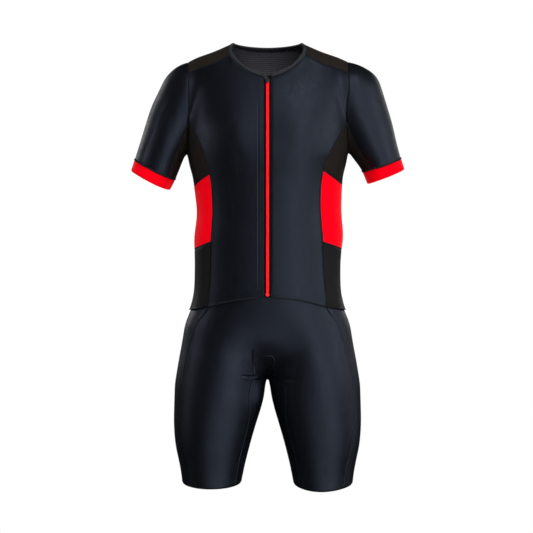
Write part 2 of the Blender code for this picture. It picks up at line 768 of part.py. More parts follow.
def add_sleeves(lycra, mesh, red):
    yoke_front, top, back, under = armhole_parts()
    shoulder = joined(yoke_front, top, back)
    cuff_top = CUFF_END - CUFF_WIDTH
    turns = (GUSSET_TURN, -GUSSET_TURN, len(shoulder) - 1)
    gusset_turns = (GUSSET_TURN, 360 - GUSSET_TURN, SIDE_COLUMNS)
    sleeve = fill(cuff_ring(cuff_top, *turns), shoulder, gusset_seam(), gusset_seam(back=True))
    gusset = fill(cuff_ring(cuff_top, *gusset_turns), under, gusset_seam(), gusset_seam(back=True))
    cuff = [
        np.stack([cuff_ring(CUFF_END, *ends), cuff_ring(cuff_top, *ends)])
        for ends in (turns, gusset_turns)
    ]
    return (
        add_pair("sleeve", [sleeve], JERSEY_LAYER, lycra)
        + add_pair("sleeve_gusset", [gusset], JERSEY_LAYER, mesh)
        + add_pair("cuff", cuff, CUFF_LAYER, red)
    )


def add_neck_binding(binding):
    edge, stitched = joined(*neck_runs("edge")), joined(*neck_runs("seam"))
    rows = np.stack([stitched, settle((edge + stitched) / 2), edge])
    return add_whole("neck_binding", [rows], BINDING_LAYER, binding)


def add_shorts(lycra):
    cloth = []
    sides, thighs, groins, splits, hems = [], [], [], [], []
    for back in (False, True):
        hip = shorts_seam("side", LEG_SPLIT, WAIST, HIP_ROWS, back, crowd=HIP_CROWD)
        leg = shorts_seam("side", LEG_HEM, LEG_SPLIT, LEG_ROWS, back, SIDE_TURN)
        sides.append((leg, hip))
        thighs.append(shorts_seam("thigh", LEG_HEM, THIGH_TOP, LEG_ROWS, back, -THIGH_TURN))
        groins.append(groin_seam(back))
        splits.append(split_line(back))
        turns = (180 + THIGH_TURN, 180 - SIDE_TURN) if back else (-THIGH_TURN, SIDE_TURN)
        hems.append(leg_hem_line(*turns, LEG_COLUMNS))
    for i, name in enumerate(("shorts_front", "shorts_back")):
        leg, hip = sides[i]
        waist_end = math.degrees(math.atan2(hip[-1][0], -hip[-1][1]))
        waist = waist_line(180 * i, waist_end, GROIN_COLUMNS + LEG_COLUMNS)
        middle = on_back if i else on_front
        heights = np.linspace(groins[i][0][2] + CROTCH_RISE, WAIST, CURVE_POINTS)
        line = np.concatenate([groins[i][:1], middle(0, heights)])
        blocks = [
            fill(joined(groins[i], splits[i]), waist, seam(line, HIP_ROWS, HIP_CROWD), hip),
            fill(hems[i], splits[i], thighs[i], leg),
        ]
        cloth += add_whole(name, blocks, SHORTS_LAYER, lycra)
    ends = [math.degrees(math.atan2(hip[-1][0], -hip[-1][1])) for leg, hip in sides]
    outsides = [joined(*pair) for pair in sides]
    panel = fill(
        leg_hem_line(SIDE_TURN, 180 - SIDE_TURN, SIDE_COLUMNS),
        waist_line(*ends, SIDE_COLUMNS),
        *outsides,
    )
    cloth += add_pair("shorts_side", [panel], SHORTS_LAYER, lycra)
    top_row, middle_row = gusset_row(thighs), groin_row(groins)
    blocks = [
        fill(leg_hem_line(-THIGH_TURN, THIGH_TURN - 180, GUSSET_COLUMNS), top_row, *thighs),
        fill(top_row, middle_row, *(groin[::-1] for groin in groins)),
    ]
    return cloth + add_whole("shorts_gusset", blocks, SHORTS_LAYER, lycra)


def gusset_row(thighs):
    """Round the top of the inner thigh, from its front seam to its back one."""
    front, back = (thigh[-1] for thigh in thighs)
    share = np.linspace(0, 1, CURVE_POINTS)
    heights = THIGH_TOP - GUSSET_SAG * np.sin(np.pi * share)
    centre = read(LEG, "centre_x", THIGH_TOP)
    start = math.degrees(math.atan2(front[0] - centre, -front[1]))
    end = math.degrees(math.atan2(back[0] - centre, -back[1]))
    points = round_leg(heights, start + (end - start) * share)
    return seam(np.concatenate([[front], points[1:-1], [back]]), GUSSET_COLUMNS)


def groin_row(groins):
    """Under the middle of the trunk, from front to back."""
    turns = np.linspace(GROIN_FRONT_TURN, GROIN_BACK_TURN, CURVE_POINTS)
    points = np.concatenate([round_groin(turn) for turn in turns])
    return seam(np.concatenate([groins[0][:1], points[1:-1], groins[1][:1]]), GUSSET_COLUMNS)


def add_zip_tapes(tape):
    heights = np.linspace(ZIP_BOTTOM, ZIP_TOP, ZIP_ROWS + 1)
    columns = (0.5 * SEAM_GAP, ZIP_OPENING, ZIP_TAPE_WIDTH)
    rows = np.stack([on_front(across, heights) for across in columns], 1)
    return add_pair("zip_tape", [rows], ZIP_TAPE_LAYER, tape)


def add_zip_chain(red):
    bottom = ZIP_STOP + ZIP_STOP_RADIUS + SEAM_GAP
    top = ZIP_SLIDER - SLIDER_LENGTH / 2
    heights = np.linspace(bottom, top, ZIP_ROWS + 1)
    rows = np.stack([on_front(across, heights) for across in (0, ZIP_CHAIN_WIDTH / 2)], 1)
    return add_whole("zip_chain", [rows], ZIP_CHAIN_LAYER, red)


def add_seat_pad(foam):
    """Lies inside the crotch: low on the front, under the middle and up the back."""
    knots = SEAT_PAD["half_width"][0]
    rows = []
    for turn in np.linspace(knots[0], knots[-1], PAD_ROWS + 1):
        aim = stack(0, -math.sin(math.radians(turn)), -math.cos(math.radians(turn)))
        line = cast(stack(np.linspace(0, PAD_REACH, CURVE_POINTS), *PAD_CENTRE), aim, REACH)
        lengths = np.concatenate([[0], np.cumsum(np.linalg.norm(np.diff(line, axis=0), axis=1))])
        rows.append(seam(line[lengths < read(SEAT_PAD, "half_width", turn)], PAD_COLUMNS))
    return add_whole("seat_pad", [np.stack(rows)], SEAT_PAD_LAYER, foam)


# Zip furniture, made flat round its own origin, with X across, Z up the zip and -Y outwards.


def lay_on_zip(thing, height, off, lean=0.0):
    """Moves a fitting that was made at the origin to its height on the zip, off the form."""
    point = on_front(0, height)[0]
    normal = form_normal(point)
    thing.location = point + normal * off
    thing.rotation_euler = (math.atan2(-normal[2], -normal[1]), lean, 0)
    thing.rotation_mode = "XYZ"
    return thing


def made_of(thing, material):
    thing.data.materials.clear()
    thing.data.materials.append(material)
    return thing


def curve_thing(name, splines, flat=False, **settings):
    """Closed outlines filled flat, or one open line given a round section, as a welded mesh."""
    curve = bpy.data.curves.new(name, "CURVE")
    curve.dimensions = "2D" if flat else "3D"
    curve.fill_mode = "BOTH" if flat else "FULL"
    for points in splines:
        spline = curve.splines.new("POLY")
        spline.points.add(len(points) - 1)
        spline.use_cyclic_u = flat
        for place, point in zip(spline.points, points):
            place.co = (*point, 1)
    for setting, value in settings.items():
        setattr(curve, setting, value)
    line = bpy.data.objects.new(name + "_line", curve)
    bpy.context.scene.collection.objects.link(line)
    mesh = bpy.data.meshes.new_from_object(line.evaluated_get(bpy.context.evaluated_depsgraph_get()))
    bpy.data.objects.remove(line)
    welded = bmesh.new()
    welded.from_mesh(mesh)
    bmesh.ops.remove_doubles(welded, verts=welded.verts, dist=SAME_PLACE)
    welded.to_mesh(mesh)
    welded.free()
    mesh.name = name
    return bpy.data.objects.new(name, mesh)


def add_slider(metal):
    """A wedge-shaped body, wider at the top, with the bridge that carries the pull tab."""
    bpy.ops.mesh.primitive_cube_add(size=1)
    body = bpy.context.object
    body.name = body.data.name = "zip_slider"
    for corner in body.data.vertices:
        x, y, z = corner.co
        narrow = 1 if z > 0 else SLIDER_TAPER
        corner.co = (x * SLIDER_WIDTH * narrow, y * SLIDER_DEPTH, z * SLIDER_LENGTH)
    bevel = body.modifiers.new("rounded edges", "BEVEL")
    bevel.width, bevel.segments = SLIDER_EDGE, 2
    front = -SLIDER_DEPTH / 2
    arch = []
    for turn in np.linspace(0, math.pi, BRIDGE_POINTS):
        arch.append((0, front - BRIDGE_RISE * math.sin(turn), BRIDGE_REACH * math.cos(turn)))
    foot = front + BRIDGE_FOOT
    arch = [(0, foot, BRIDGE_REACH)] + arch + [(0, foot, -BRIDGE_REACH)]
    tube = {"bevel_depth": BRIDGE_RADIUS, "bevel_resolution": 2, "use_fill_caps": True}
    bridge = curve_thing("zip_slider_bridge", [arch], **tube)
    bridge.hide_render, bridge.display_type, bridge.parent = True, "WIRE", body
    union = body.modifiers.new("bridge", "BOOLEAN")
    union.operation, union.object = "UNION", bridge
    middle = (ZIP_CHAIN_LAYER[0] + SLIDER_FRONT) / 2
    return [lay_on_zip(made_of(body, metal), ZIP_SLIDER, middle)], [bridge]


def rounded_outline(half_width, low, high, corner):
    """A rectangle in X and Y with round corners."""
    points = []
    centres = ((1, 1), (-1, 1), (-1, -1), (1, -1))
    for quarter, (side, end) in enumerate(centres):
        centre_x = side * (half_width - corner)
        centre_y = high - corner if end > 0 else low + corner
        for turn in np.radians(np.linspace(0, 90, CORNER_POINTS) + 90 * quarter):
            points.append((centre_x + corner * math.cos(turn), centre_y + corner * math.sin(turn), 0))
    return points


def add_pull_tab(enamel):
    """A flat tab with an eye round the slider's bridge, flipped up, its origin on its hinge."""
    outline = rounded_outline(TAB_WIDTH / 2, -TAB_BAR / 2, TAB_LENGTH, TAB_WIDTH * TAB_ROUND)
    eye = rounded_outline(EYE_WIDTH / 2, TAB_BAR / 2, TAB_BAR / 2 + EYE_LENGTH, EYE_WIDTH * EYE_ROUND)
    tab = curve_thing("zip_pull_tab", [outline, eye], flat=True, extrude=TAB_THICKNESS / 2)
    tab.data.transform(Matrix.Rotation(math.radians(90), 4, "X"))
    hinge = SLIDER_FRONT + TAB_HINGE_RISE
    return [lay_on_zip(made_of(tab, enamel), ZIP_SLIDER, hinge, TAB_LEAN)]


def add_zip_stop(red):
    """The round stop at the bottom of the zip."""
    depth = ZIP_CHAIN_LAYER[1] - ZIP_CHAIN_LAYER[0]
    bpy.ops.mesh.primitive_cylinder_add(vertices=ZIP_STOP_SIDES, radius=ZIP_STOP_RADIUS, depth=depth)
    stop = bpy.context.object
    stop.name = stop.data.name = "zip_stop"
    stop.data.transform(Matrix.Rotation(math.radians(90), 4, "X"))
    bevel = stop.modifiers.new("rounded edge", "BEVEL")
    bevel.width, bevel.segments = ZIP_STOP_EDGE, 2
    bevel.limit_method = "ANGLE"
    return [lay_on_zip(made_of(stop, red), ZIP_STOP, sum(ZIP_CHAIN_LAYER) / 2)]


def make_material(name, colour, roughness, metallic=0.0):
    material = bpy.data.materials.new(name)
    material.use_nodes = True
    shader = material.node_tree.nodes["Principled BSDF"]
    shader.inputs["Base Color"].default_value = (*colour, 1)
    shader.inputs["Roughness"].default_value = roughness
    shader.inputs["Metallic"].default_value = metallic
    material.diffuse_color = (*colour, 1)
    return material


def main():
    for thing in list(bpy.data.objects):
        bpy.data.objects.remove(thing)
    lycra = make_material("black lycra", (0.016, 0.018, 0.024), 0.45)
    mesh = make_material("black mesh", (0.018, 0.015, 0.014), 0.75)
    red = make_material("red lycra", (0.80, 0.004, 0.012), 0.45)
    foam = make_material("grey foam", (0.10, 0.10, 0.11), 0.8)
    tape = make_material("black zip tape", (0.010, 0.010, 0.012), 0.7)
    nylon = make_material("red nylon", (0.72, 0.004, 0.010), 0.35)
    metal = make_material("black enamelled zinc", (0.012, 0.012, 0.013), 0.3, 0.4)

    pieces = add_sides(lycra, mesh, red) + add_fronts(lycra) + add_back(mesh)
    pieces += add_sleeves(lycra, mesh, red) + add_neck_binding(lycra)
    pieces += add_shorts(lycra) + add_seat_pad(foam)
    pieces += add_zip_tapes(tape) + add_zip_chain(nylon) + add_zip_stop(nylon)
    slider, guides = add_slider(metal)
    pieces += slider + add_pull_tab(metal)

    suit = bpy.data.objects.new("triathlon_suit", None)
    home = bpy.data.collections.new("triathlon_suit")
    hidden = bpy.data.collections.new("guides")
    for collection in (home, hidden):
        bpy.context.scene.collection.children.link(collection)
    home.objects.link(suit)
    for thing, collection in [(p, home) for p in pieces] + [(g, hidden) for g in guides]:
        for old in thing.users_collection:
            old.objects.unlink(thing)
        collection.objects.link(thing)
        if collection is home:
            thing.parent = suit


if __name__ == "__main__":
    main()
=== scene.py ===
import json
import math

import bmesh
import bpy
import numpy as np
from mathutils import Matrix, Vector
from mathutils.bvhtree import BVHTree


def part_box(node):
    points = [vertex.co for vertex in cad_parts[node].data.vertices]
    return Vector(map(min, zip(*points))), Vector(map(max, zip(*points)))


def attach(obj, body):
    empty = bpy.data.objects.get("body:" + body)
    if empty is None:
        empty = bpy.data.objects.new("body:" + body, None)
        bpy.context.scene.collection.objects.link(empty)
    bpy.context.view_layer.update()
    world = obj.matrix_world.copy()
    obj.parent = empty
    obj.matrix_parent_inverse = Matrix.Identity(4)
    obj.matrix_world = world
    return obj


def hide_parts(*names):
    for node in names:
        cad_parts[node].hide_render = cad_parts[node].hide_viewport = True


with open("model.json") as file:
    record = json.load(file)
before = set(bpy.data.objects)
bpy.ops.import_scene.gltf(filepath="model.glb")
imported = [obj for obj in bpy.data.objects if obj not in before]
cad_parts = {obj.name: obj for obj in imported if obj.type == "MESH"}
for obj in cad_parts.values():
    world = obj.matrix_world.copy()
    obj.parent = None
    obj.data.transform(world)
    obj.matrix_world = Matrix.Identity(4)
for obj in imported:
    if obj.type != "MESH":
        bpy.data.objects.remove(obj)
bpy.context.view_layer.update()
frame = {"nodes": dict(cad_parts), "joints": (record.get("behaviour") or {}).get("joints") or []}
print("frame loaded")

mm = 0.001

# small helpers for the modelling below


def deselectAll():
    if bpy.context.mode != "OBJECT":
        bpy.ops.object.mode_set(mode="OBJECT")
    bpy.ops.object.select_all(action="DESELECT")


def pick(thing):
    deselectAll()
    thing.select_set(True)
    bpy.context.view_layer.objects.active = thing


def editAll(thing):
    pick(thing)
    bpy.ops.object.mode_set(mode="EDIT")
    bpy.ops.mesh.select_all(action="SELECT")


def applyModifier(thing, kind, **settings):
    pick(thing)
    modifier = thing.modifiers.new(kind.lower(), kind)
    for name, value in settings.items():
        setattr(modifier, name, value)
    bpy.ops.object.modifier_apply(modifier=modifier.name)


def newPiece(name, data):
    piece = bpy.data.objects.new(name, data)
    bpy.context.scene.collection.objects.link(piece)
    return piece


def shadeSmooth(piece):
    piece.data.polygons.foreach_set("use_smooth", [True] * len(piece.data.polygons))


def places(thing):
    # the vertices of a mesh as an array
    found = np.empty(len(thing.data.vertices) * 3)
    thing.data.vertices.foreach_get("co", found)
    return found.reshape(-1, 3)


def normals(thing):
    found = np.empty(len(thing.data.vertices) * 3)
    thing.data.vertex_normals.foreach_get("vector", found)
    return found.reshape(-1, 3)


def movePlaces(thing, found):
    thing.data.vertices.foreach_set("co", np.ascontiguousarray(found).ravel())
    thing.data.update()


def hexColour(text):
    # sRGB hex to the linear colour that a shader socket takes
    parts = [int(text[i : i + 2], 16) / 255 for i in (1, 3, 5)]
    return tuple(c / 12.92 if c < 0.04045 else ((c + 0.055) / 1.055) ** 2.4 for c in parts) + (1,)


# materials


def setInputs(tree, node, inputs):
    # an input is given a fixed value, or a link from another node's output
    for name, value in inputs.items():
        if isinstance(value, bpy.types.NodeSocket):
            tree.links.new(value, node.inputs[name])
        else:
            node.inputs[name].default_value = value


def addNode(tree, kind, inputs, **settings):
    node = tree.nodes.new("ShaderNode" + kind)
    for name, value in settings.items():
        setattr(node, name, value)
    setInputs(tree, node, inputs)
    return node


def startMaterial(name):
    material = bpy.data.materials.new(name)
    material.use_nodes = True
    return material, material.node_tree, material.node_tree.nodes["Principled BSDF"]


waveGap = 0.314  # metres between the bands of a wave texture at scale 1

knitLook = {
    "wale": 0.9,  # mm between the knit's upright lines, drawn coarser than the real 0.3
    "course": 1.1,  # mm between its rows, drawn as much coarser
    "mottle": 16,  # mm across the soft cloudiness of stretched knit
    "streak": (2.6, 45.0),  # mm across and along the faint upright streaks of the stretched face
    "streakShare": 0.5,  # how much of the unevenness is streaks, the rest being clouds
    "unevenSpan": (0.3, 0.7),  # between these the noise sets the gloss
    "glossSwing": 0.11,  # how far the roughness strays each way from its middle value
    "paintedLoopShade": 0.22,  # painted shade: how far the colour darkens between loops
    "loopHeight": 0.3,  # mm
    "bump": 0.16,
}


def knitMaterial(name, dark, light, roughness, specular, gleam):
    # elastane warp knit, smooth face: a soft satin with fine upright lines, brighter at grazing angles,
    # with painted shade between its loops
    material, tree, shader = startMaterial(name)
    uv = addNode(tree, "UVMap", {}, uv_map="cloth").outputs["UV"]
    lines = [
        addNode(
            tree,
            "TexWave",
            {"Vector": uv, "Scale": waveGap / (gap * mm), "Distortion": 0.6, "Detail": 1.0},
            wave_type="BANDS",
            bands_direction=direction,
            wave_profile="SIN",
        ).outputs["Fac"]
        for gap, direction in ((knitLook["wale"], "X"), (knitLook["course"], "Y"))
    ]
    loops = addNode(tree, "Math", {0: lines[0], 1: lines[1]}, operation="MULTIPLY").outputs["Value"]
    cloudy = {"Vector": uv, "Scale": 1 / (knitLook["mottle"] * mm), "Detail": 4.0, "Roughness": 0.6}
    clouds = addNode(tree, "TexNoise", cloudy)
    across, up = (1 / (size * mm) for size in knitLook["streak"])
    drawn = addNode(tree, "Mapping", {"Vector": uv, "Scale": (across, up, 1)})
    streaks = addNode(tree, "TexNoise", {"Vector": drawn.outputs["Vector"], "Scale": 1.0, "Detail": 2.0})
    uneven = addNode(
        tree,
        "Mix",
        {"Factor": knitLook["streakShare"], "A": clouds.outputs["Fac"], "B": streaks.outputs["Fac"]},
        data_type="FLOAT",
    ).outputs["Result"]
    dyeAndRibShade = {"Fac": uneven, "Color1": hexColour(dark), "Color2": hexColour(light)}
    shade = addNode(tree, "MixRGB", dyeAndRibShade, blend_type="MIX")
    # painted shade: the colour darkened where the loops dip, following the bump
    loopShaded = addNode(
        tree,
        "MixRGB",
        {"Fac": knitLook["paintedLoopShade"], "Color1": shade.outputs["Color"], "Color2": loops},
        blend_type="MULTIPLY",
    )
    gloss = addNode(
        tree,
        "MapRange",
        {
            "Value": uneven,
            "From Min": knitLook["unevenSpan"][0],
            "From Max": knitLook["unevenSpan"][1],
            "To Min": roughness - knitLook["glossSwing"],
            "To Max": roughness + knitLook["glossSwing"],
        },
    )
    relief = {"Height": loops, "Strength": knitLook["bump"], "Distance": knitLook["loopHeight"] * mm}
    bump = addNode(tree, "Bump", relief)
    finish = {
        "Base Color": loopShaded.outputs["Color"],
        "Roughness": gloss.outputs["Result"],
        "Normal": bump.outputs["Normal"],
        "Specular IOR Level": specular,
        "Specular Tint": hexColour(gleam),
    }
    setInputs(tree, shader, finish)
    return material


meshLook = {
    "hole": 1.5,  # mm between the tiny holes, drawn coarser than the real 0.8
    "holeEdge": (0.18, 0.42),  # where a hole ends and the thread is full, as shares of that gap
    "holeStray": 0.15,  # how far the holes stray from even rows
    "holePaintedShade": 0.55,  # painted shade: how far the colour darkens in them
    "rib": 4.0,  # mm between the level ribs
    "ribHeight": 0.9,  # as a share of a hole's depth
    "depth": 0.5,  # mm
    "bump": 0.45,
    "roughness": 0.72,
    "specular": 0.12,
}


def meshMaterial(name, dark, light):
    # polyester micro mesh: matt, pricked with tiny holes in level ribs, warmer than the knit beside it;
    # painted shade darkens the rib troughs and the holes, and a painted highlight lightens the rib tops
    material, tree, shader = startMaterial(name)
    uv = addNode(tree, "UVMap", {}, uv_map="cloth").outputs["UV"]
    holes = addNode(
        tree,
        "TexVoronoi",
        {"Vector": uv, "Scale": 1 / (meshLook["hole"] * mm), "Randomness": meshLook["holeStray"]},
        voronoi_dimensions="2D",
        feature="F1",
    )
    inner, outer = meshLook["holeEdge"]
    pricks = {"Value": holes.outputs["Distance"], "From Min": inner, "From Max": outer}
    dots = addNode(tree, "MapRange", pricks).outputs["Result"]
    ribs = addNode(
        tree,
        "TexWave",
        {"Vector": uv, "Scale": waveGap / (meshLook["rib"] * mm), "Distortion": 0.4, "Detail": 1.0},
        wave_type="BANDS",
        bands_direction="Y",
        wave_profile="SIN",
    ).outputs["Fac"]
    height = addNode(tree, "Math", {0: ribs, 1: meshLook["ribHeight"], 2: dots}, operation="MULTIPLY_ADD")
    height = height.outputs["Value"]
    # painted shade and highlight: dark in the rib troughs, light on the rib tops, as the bump rises
    dyeAndRibShade = {"Fac": ribs, "Color1": hexColour(dark), "Color2": hexColour(light)}
    shade = addNode(tree, "MixRGB", dyeAndRibShade, blend_type="MIX")
    # painted shade in the holes
    holesShaded = addNode(
        tree,
        "MixRGB",
        {"Fac": meshLook["holePaintedShade"], "Color1": shade.outputs["Color"], "Color2": dots},
        blend_type="MULTIPLY",
    )
    relief = {"Height": height, "Strength": meshLook["bump"], "Distance": meshLook["depth"] * mm}
    bump = addNode(tree, "Bump", relief)
    finish = {
        "Base Color": holesShaded.outputs["Color"],
        "Normal": bump.outputs["Normal"],
        "Roughness": meshLook["roughness"],
        "Specular IOR Level": meshLook["specular"],
    }
    setInputs(tree, shader, finish)
    return material


trimLook = {
    "glossSwing": (0.85, 1.15),  # how far the grain takes the roughness down and up, as shares of it
    "dullest": 0.8,  # the share of the colour that is left where the grain is darkest
    "depth": 0.1,  # mm
}


def plainMaterial(name, colour, roughness, grain, relief=0.1, specular=0.5):
    # moulded, enamelled or woven trim: one colour broken by a fine grain, its size in mm
    material, tree, shader = startMaterial(name)
    where = addNode(tree, "TexCoord", {}).outputs["Object"]
    noise = addNode(tree, "TexNoise", {"Vector": where, "Scale": 1 / (grain * mm), "Detail": 3.0})
    noise = noise.outputs["Fac"]
    low, high = (roughness * share for share in trimLook["glossSwing"])
    gloss = addNode(tree, "MapRange", {"Value": noise, "To Min": low, "To Max": high})
    dull = addNode(tree, "MapRange", {"Value": noise, "To Min": trimLook["dullest"], "To Max": 1.0})
    shade = addNode(
        tree,
        "MixRGB",
        {"Fac": 1.0, "Color1": hexColour(colour), "Color2": dull.outputs["Result"]},
        blend_type="MULTIPLY",
    )
    bump = addNode(tree, "Bump", {"Height": noise, "Strength": relief, "Distance": trimLook["depth"] * mm})
    finish = {
        "Base Color": shade.outputs["Color"],
        "Roughness": gloss.outputs["Result"],
        "Normal": bump.outputs["Normal"],
        "Specular IOR Level": specular,
    }
    setInputs(tree, shader, finish)
    return material


# elastane warp knit with a calendered face: nearly black, with a blue gleam
navyKnit = knitMaterial("navyElastaneKnit", "#050608", "#0a0c0f", 0.43, 0.56, "#aab8d8")
# the same knit dyed plain black and left unpressed: duller, with hardly any gleam
sideKnit = knitMaterial("matBlackElastaneKnit", "#050506", "#0a0a0c", 0.47, 0.23, "#b9b4bc")
# knitted polyester mesh: brownish black and matt; its reverse greyer, and painted much paler as a lit copy
# that stands in for the light on the inside of the back
blackMesh = meshMaterial("polyesterMicroMesh", "#0f0d0c", "#201b18")
meshInsidePaintedLit = meshMaterial("polyesterMicroMeshReversePaintedLit", "#3f3f45", "#606068")
# acid-dyed elastane knit and ribbed elastic: one strong even red that shines very little
redKnit = knitMaterial("redElastaneKnit", "#e60012", "#fa0018", 0.55, 0.03, "#ff3030")
redElastic = knitMaterial("redRibbedElastic", "#e60012", "#fa0018", 0.60, 0.03, "#ff3030")
# a strip of the black knit, folded and pressed, painted dark grey as a lit copy that stands in for the
# light on its fold; coarser to the eye than the panels
bindingKnitPaintedLit = plainMaterial("foldedElastaneBindingPaintedLit", "#202125", 0.6, grain=1.1, relief=0.35, specular=0.15)
# close-woven polyester: black and dead matt
zipTapeCloth = plainMaterial("wovenPolyesterTape", "#060608", 0.7, grain=0.8, relief=0.4, specular=0.1)
# drawn nylon wire: a clear red, smooth enough for small soft highlights
coilNylon = plainMaterial("redNylonMonofilament", "#ff0a20", 0.35, grain=0.6, specular=0.25)
# die-cast zinc under baked enamel: black, with a glossy and faintly uneven skin
blackEnamel = plainMaterial("enamelledZincCasting", "#222327", 0.34, grain=2.5, relief=0.03)
# spun polyester thread: black and fuzzy, a shade bluer where it covers a seam
darkThread = plainMaterial("polyesterOverlockThread", "#070709", 0.6, grain=0.3, specular=0.15)
seamThread = plainMaterial("flatlockCoverThread", "#15181e", 0.7, grain=0.6, relief=0.6, specular=0.12)
# brushed fleece laminated to foam: grey, with no shine at all
padFleece = plainMaterial("brushedFleeceOverFoam", "#4a4b50", 0.9, grain=0.9, relief=0.5)
# silicone poured in dots: dark and rubbery, with a wet shine
dotSilicone = plainMaterial("pouredSiliconeGripper", "#26262a", 0.25, grain=2.0)
print("materials made")

# cloth: each panel is the outer face of its solid, made finer, creased and given a thin wall

# lines inside the trunk and limbs that tell a wall's outer side from its inner one
trunkBones = [((0, 0, -0.10), (0, 0, -0.60)), ((-0.11, 0, -0.12), (0.11, 0, -0.12))]
armBones = [
    ((0.163, 0.002, -0.103), (0.243, 0.002, -0.287)),
    ((-0.163, 0.002, -0.103), (-0.243, 0.002, -0.287)),
]
legBones = [
    ((0, 0, -0.50), (0, 0, -0.60)),
    ((0.075, 0, -0.62), (0.114, 0, -0.90)),
    ((-0.075, 0, -0.62), (-0.114, 0, -0.90)),
]

clothWall = {
    "solid": 1.3 * mm,  # how thick the solids are
    "rimTolerance": 0.03 * mm,
    "thickness": 0.9 * mm,
    "levels": 2,  # of subdivision
    "hem": 1.5 * mm,  # width of the band along every open edge
    "sink": 0.9 * mm,  # how far the band's outer line goes down into a seam
    "lap": 0.9 * mm,  # how far it runs on, so that no slit shows
    "hemLift": 1.0 * mm,  # how far a free hem stands off
}


def outFrom(place, bones):
    # from the nearest of the lines inside the limbs to this place
    best = None
    for start, end in bones:
        start, end = Vector(start), Vector(end)
        run = end - start
        share = min(1, max(0, (place - start).dot(run) / run.length_squared))
        away = place - start - run * share
        if best is None or away.length < best.length:
            best = away
    return best.normalized()


def copyOfNode(node, name):
    # a CAD solid's mesh, merged and turned back to quads, as a new object that is open for editing
    piece = newPiece(name, frame["nodes"][node].data.copy())
    piece.data.materials.clear()
    editAll(piece)
    bpy.ops.mesh.remove_doubles(threshold=0.01 * mm)
    bpy.ops.mesh.tris_convert_to_quads(face_threshold=math.radians(60), shape_threshold=math.radians(150))
    return piece


def islands(mesh):
    # the groups of faces that hang together
    left, found = set(mesh.faces), []
    while left:
        island, reached = [], [left.pop()]
        while reached:
            face = reached.pop()
            island.append(face)
            for edge in face.edges:
                for other in edge.link_faces:
                    if other in left:
                        left.discard(other)
                        reached.append(other)
        found.append(island)
    return found


def outerFace(piece, wall, bones):
    # takes the rim and the inner side off a wall, which leaves its outer face as an open sheet
    mesh = bmesh.from_edit_mesh(piece.data)
    for face in mesh.faces:
        face.select = any(abs(edge.calc_length() - wall) < clothWall["rimTolerance"] for edge in face.edges)
    bpy.ops.mesh.delete(type="FACE")
    mesh = bmesh.from_edit_mesh(piece.data)
    for island in islands(mesh):
        facing = sum(f.normal.dot(outFrom(f.calc_center_median(), bones)) * f.calc_area() for f in island)
        for face in island:
            face.select_set(facing < 0)
    bpy.ops.mesh.delete(type="FACE")
    bpy.ops.object.mode_set(mode="OBJECT")


def freshUv(piece):
    for layer in list(piece.data.uv_layers):
        piece.data.uv_layers.remove(layer)
    return piece.data.uv_layers.new(name="cloth")


def unwrapCloth(piece):
    # lays the sheet flat as it was cut: metres on the UV map, with V up the garment
    freshUv(piece)
    editAll(piece)
    bpy.ops.uv.unwrap(method="ANGLE_BASED", margin=0)
    bpy.ops.object.mode_set(mode="OBJECT")
    layer = piece.data.uv_layers["cloth"]
    flat = np.empty(len(layer.uv) * 2)
    layer.uv.foreach_get("vector", flat)
    flat = flat.reshape(-1, 2)
    corners = np.empty(len(flat), int)
    piece.data.loops.foreach_get("vertex_index", corners)
    where = places(piece)[corners]
    spots = [list(polygon.loop_indices) for polygon in piece.data.polygons]
    real = sum(np.linalg.norm(where[s[1]] - where[s[0]]) for s in spots)
    drawn = sum(np.linalg.norm(flat[s[1]] - flat[s[0]]) for s in spots)
    flat *= real / drawn
    slopes = np.linalg.lstsq(np.column_stack([flat, np.ones(len(flat))]), where[:, 2], rcond=None)[0][:2]
    up = slopes / np.linalg.norm(slopes)
    turned = np.column_stack([flat @ np.array([up[1], -up[0]]), flat @ up])
    layer.uv.foreach_set("vector", np.ascontiguousarray(turned).ravel())


def tubeUv(piece, bones):
    # for a closed ring: U runs round it and V along it
    layer = freshUv(piece)
    start, end = (Vector(end) for end in bones[int(places(piece)[:, 0].mean() < 0)])
    run = (end - start).normalized()
    side = run.cross(Vector((0, 1, 0))).normalized()
    ahead = run.cross(side)
    radius = np.mean([(v.co - start - run * (v.co - start).dot(run)).length for v in piece.data.vertices])
    for polygon in piece.data.polygons:
        first = None
        for i in polygon.loop_indices:
            away = piece.data.vertices[piece.data.loops[i].vertex_index].co - start
            turn = math.atan2(away.dot(ahead), away.dot(side))
            first = turn if first is None else first
            turn += 2 * math.pi * round((first - turn) / (2 * math.pi))
            layer.uv[i].vector = (turn * radius, -away.dot(run))


def smoothThrough(sheet, levels, rounds=3):
    # subdivides the sheet so that the smooth face still passes through its own points
    aim = places(sheet)
    modifier = sheet.modifiers.new("smooth", "SUBSURF")
    modifier.levels = modifier.render_levels = levels
    modifier.boundary_smooth = "PRESERVE_CORNERS"
    for _ in range(rounds):
        bpy.context.view_layer.update()
        seen = sheet.evaluated_get(bpy.context.evaluated_depsgraph_get()).data
        found = np.array([seen.vertices[i].co for i in range(len(aim))])
        movePlaces(sheet, places(sheet) + aim - found)
    pick(sheet)
    bpy.ops.object.modifier_apply(modifier=modifier.name)


def unit(rows):
    return rows / np.linalg.norm(rows, axis=1, keepdims=True)


def evenly(line, pitch, closed=False):
    # places at an even pitch along a line of rows, whose first three columns are a place
    if closed:
        line = np.concatenate([line, line[:1]])
    lengths = np.linalg.norm(np.diff(line[:, :3], axis=0), axis=1)
    before = np.concatenate([[0], np.cumsum(lengths)])
    count = max(2, round(before[-1] / pitch))
    at = (np.arange(count) + 0.5) * before[-1] / count
    return np.column_stack([np.interp(at, before, column) for column in line.T])


